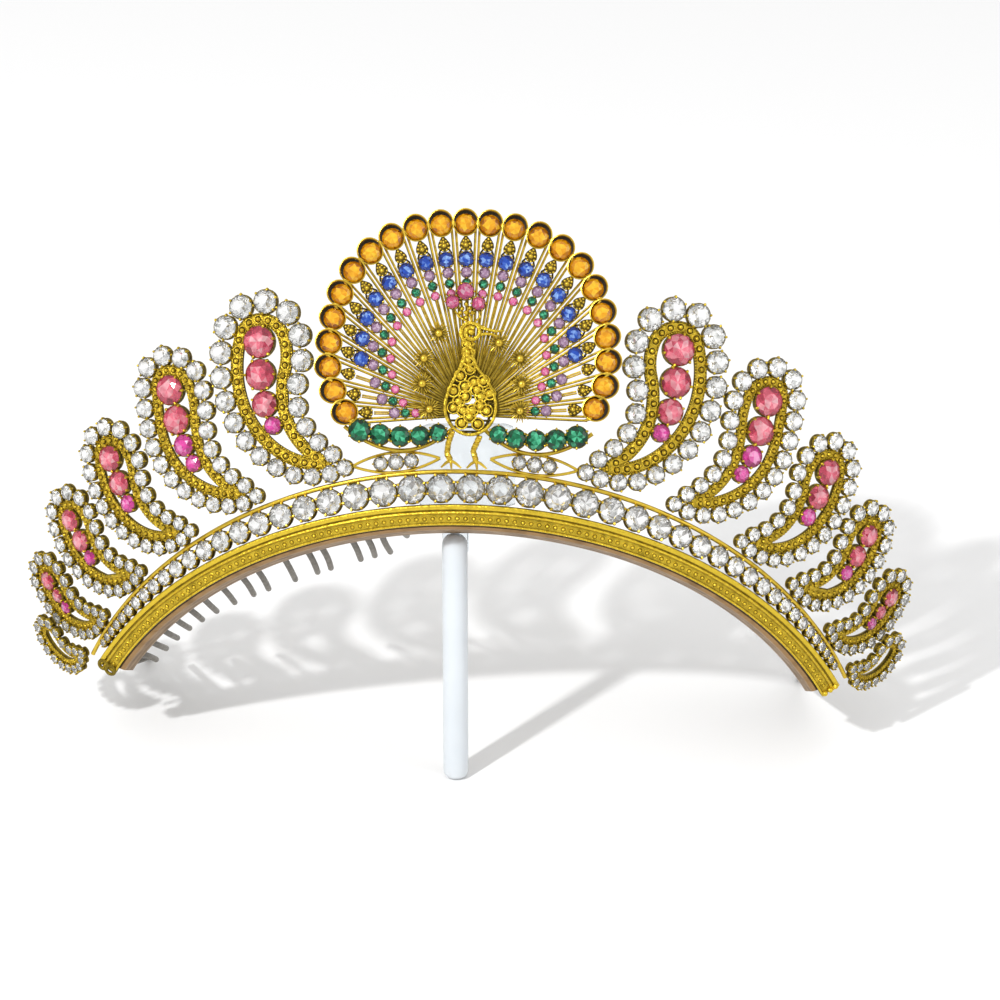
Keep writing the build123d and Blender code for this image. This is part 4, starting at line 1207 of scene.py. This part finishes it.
# Comb's dark bar with its round teeth; the outermost rest on the table and the left ones hang lower
teeth = {"wire": 1.3, "length": 33.0, "gap": 0.1, "bar": 1.5, "droop": 5.0, "droopMiddle": -27.0,
         "droopSpread": 20.0, "resting": 62.0, "leftDroop": 4.5, "leftLean": 1.2, "leftEnd": -12.0,
         "bow": 0.35}
toothAngles = (-62.4, -59.6, -56.4, -53.2, -50, -46.9, -43.6, -39.8, -36, -33.2, -28.4, -24.6, -22.4,
               -17.6, -15.4, -13, -10, 1, 5.8, 7.8, 11, 16, 18, 21, 25.6, 28, 32, 35.8, 39, 43, 47, 50.5,
               54, 57, 59.8, 62.4)


def toothWay(angle):
    # Direction of a tooth, which hangs lower left of the middle
    loose = -teeth["resting"] < angle < teeth["leftEnd"]
    droop = teeth["droop"] * exp(-((angle - teeth["droopMiddle"]) / teeth["droopSpread"]) ** 2)
    slope = radians(comb["slope"] + droop + (teeth["leftDroop"] if loose else 0))
    lean = radians(teeth["leftLean"] if loose else 0)
    return turned((sin(lean), cos(slope) * cos(lean), -sin(slope) * cos(lean)))


def toothPart(root, way, length, bow):
    # A straight wire, a little bent by hand, with a round end
    half = teeth["wire"] / 2
    # The wire is painted darker near the bar as shade and lighter towards its tip
    rows = [(length * t, half, 0.35 + 0.5 * t) for t in (0, 0.12, 0.3, 0.5, 0.7, 0.88, 1)]
    rows += [(length + half * sin(turn), half * cos(turn), 0.9) for turn in (0.5, 0.95, 1.35)]
    path = [root + way * far + Vector((bow * sin(pi * min(1, far / length)), 0, 0)) for far, _, _ in rows]
    return tube(path, [wide for _, wide, _ in rows], 14, wear=[shadedWear for _, _, shadedWear in rows])


teethMetal = Shape()
front = comb["depth"] + teeth["gap"]
back = front + teeth["bar"]
teethMetal.add(combBar(((0.0, front, 0.3), (0.0, back, 0.3),
                        (comb["wall"], back, 0.5), (comb["wall"], front, 0.6))))
for angle in toothAngles:
    root, way = onComb(angle, comb["wall"] / 2, (front + back) / 2), toothWay(angle)
    length = (root.z - teeth["wire"] / 2) / -way.z   # down to the table
    if abs(angle) < teeth["resting"]:
        length = min(length, teeth["length"])
    teethMetal.add(toothPart(root, way, length, teeth["bow"] * dice.uniform(-1, 1)))
makePiece("combTeeth", teethMetal, darkWirePaint, "dark_metal", "comb_teeth")
print("comb and stand ready")


# Floor, light and camera

studio = {"floor": (0.86, 0.86, 0.86), "patch": (0.843, 0.843, 0.843), "half": 4.0, "sky": 1.02,
          "horizon": 0.46, "key": 10.5, "keySize": 0.05, "keyPlace": (-0.545, -0.723, 0.85),
          "keyTarget": (0, 0, 0.06), "fill": 2.0, "fillSize": 0.6, "fillPlace": (0.8, -0.5, 0.5),
          "fillTarget": (0, 0, 0.08)}
floorMesh = bpy.data.meshes.new("floor")
half = studio["half"]
corners = [(x * half, y * half, 0) for x, y in ((-1, -1), (1, -1), (1, 1), (-1, 1))]
floorMesh.from_pydata(corners, [], [(0, 1, 2, 3)])
floor = bpy.data.objects.new("floor", floorMesh)
bpy.context.scene.collection.objects.link(floor)
paint = Paint(bpy.data.materials.new("paleFloor"))
haze = paint.noise(3.0, 1.0)
floorMesh.materials.append(paint.finish(paint.node("ShaderNodeBsdfPrincipled", None, {
    "Base Color": paint.mixed(haze, studio["floor"], studio["patch"]), "Roughness": 0.7})))

world = bpy.data.worlds.new("studio")
bpy.context.scene.world = world
paint = Paint(world)
way = paint.node("ShaderNodeTexCoord", None, None, "Generated")
height = paint.node("ShaderNodeSeparateXYZ", None, {0: way}, "Z")
stops = ((0.0, (studio["horizon"],) * 3), (0.8, (studio["sky"],) * 3))
sky = paint.node("ShaderNodeValToRGB", {"stops": stops}, {"Fac": height})
paint.finish(paint.node("ShaderNodeBackground", None, {"Color": sky}), "ShaderNodeOutputWorld")


def areaLight(name, place, target, size, power):
    lamp = bpy.data.lights.new(name, "AREA")
    lamp.shape, lamp.size, lamp.energy = "SQUARE", size, power
    lampObject = bpy.data.objects.new(name, lamp)
    bpy.context.scene.collection.objects.link(lampObject)
    lampObject.location = place
    lampObject.rotation_euler = (Vector(target) - Vector(place)).to_track_quat("-Z", "Y").to_euler()


for name in ("key", "fill"):
    areaLight(f"{name}Light", studio[f"{name}Place"], studio[f"{name}Target"], studio[f"{name}Size"],
              studio[name])

cameraLook = {"target": (9.18, -5.86, 66.20), "distance": 800.0, "elevation": 25.0, "angle": 14.25,
              "near": 0.01, "far": 20}
lens = bpy.data.cameras.new("camera")
lens.angle = radians(cameraLook["angle"])
lens.clip_start, lens.clip_end = cameraLook["near"], cameraLook["far"]
camera = bpy.data.objects.new("camera", lens)
bpy.context.scene.collection.objects.link(camera)
up = radians(cameraLook["elevation"])
camera.location = (Vector(cameraLook["target"])
                   + cameraLook["distance"] * Vector((0, -cos(up), sin(up)))) * mm
camera.rotation_euler = (pi / 2 - up, 0, 0)
bpy.context.scene.camera = camera
bpy.context.scene.view_settings.view_transform = "Standard"

print("scene ready")
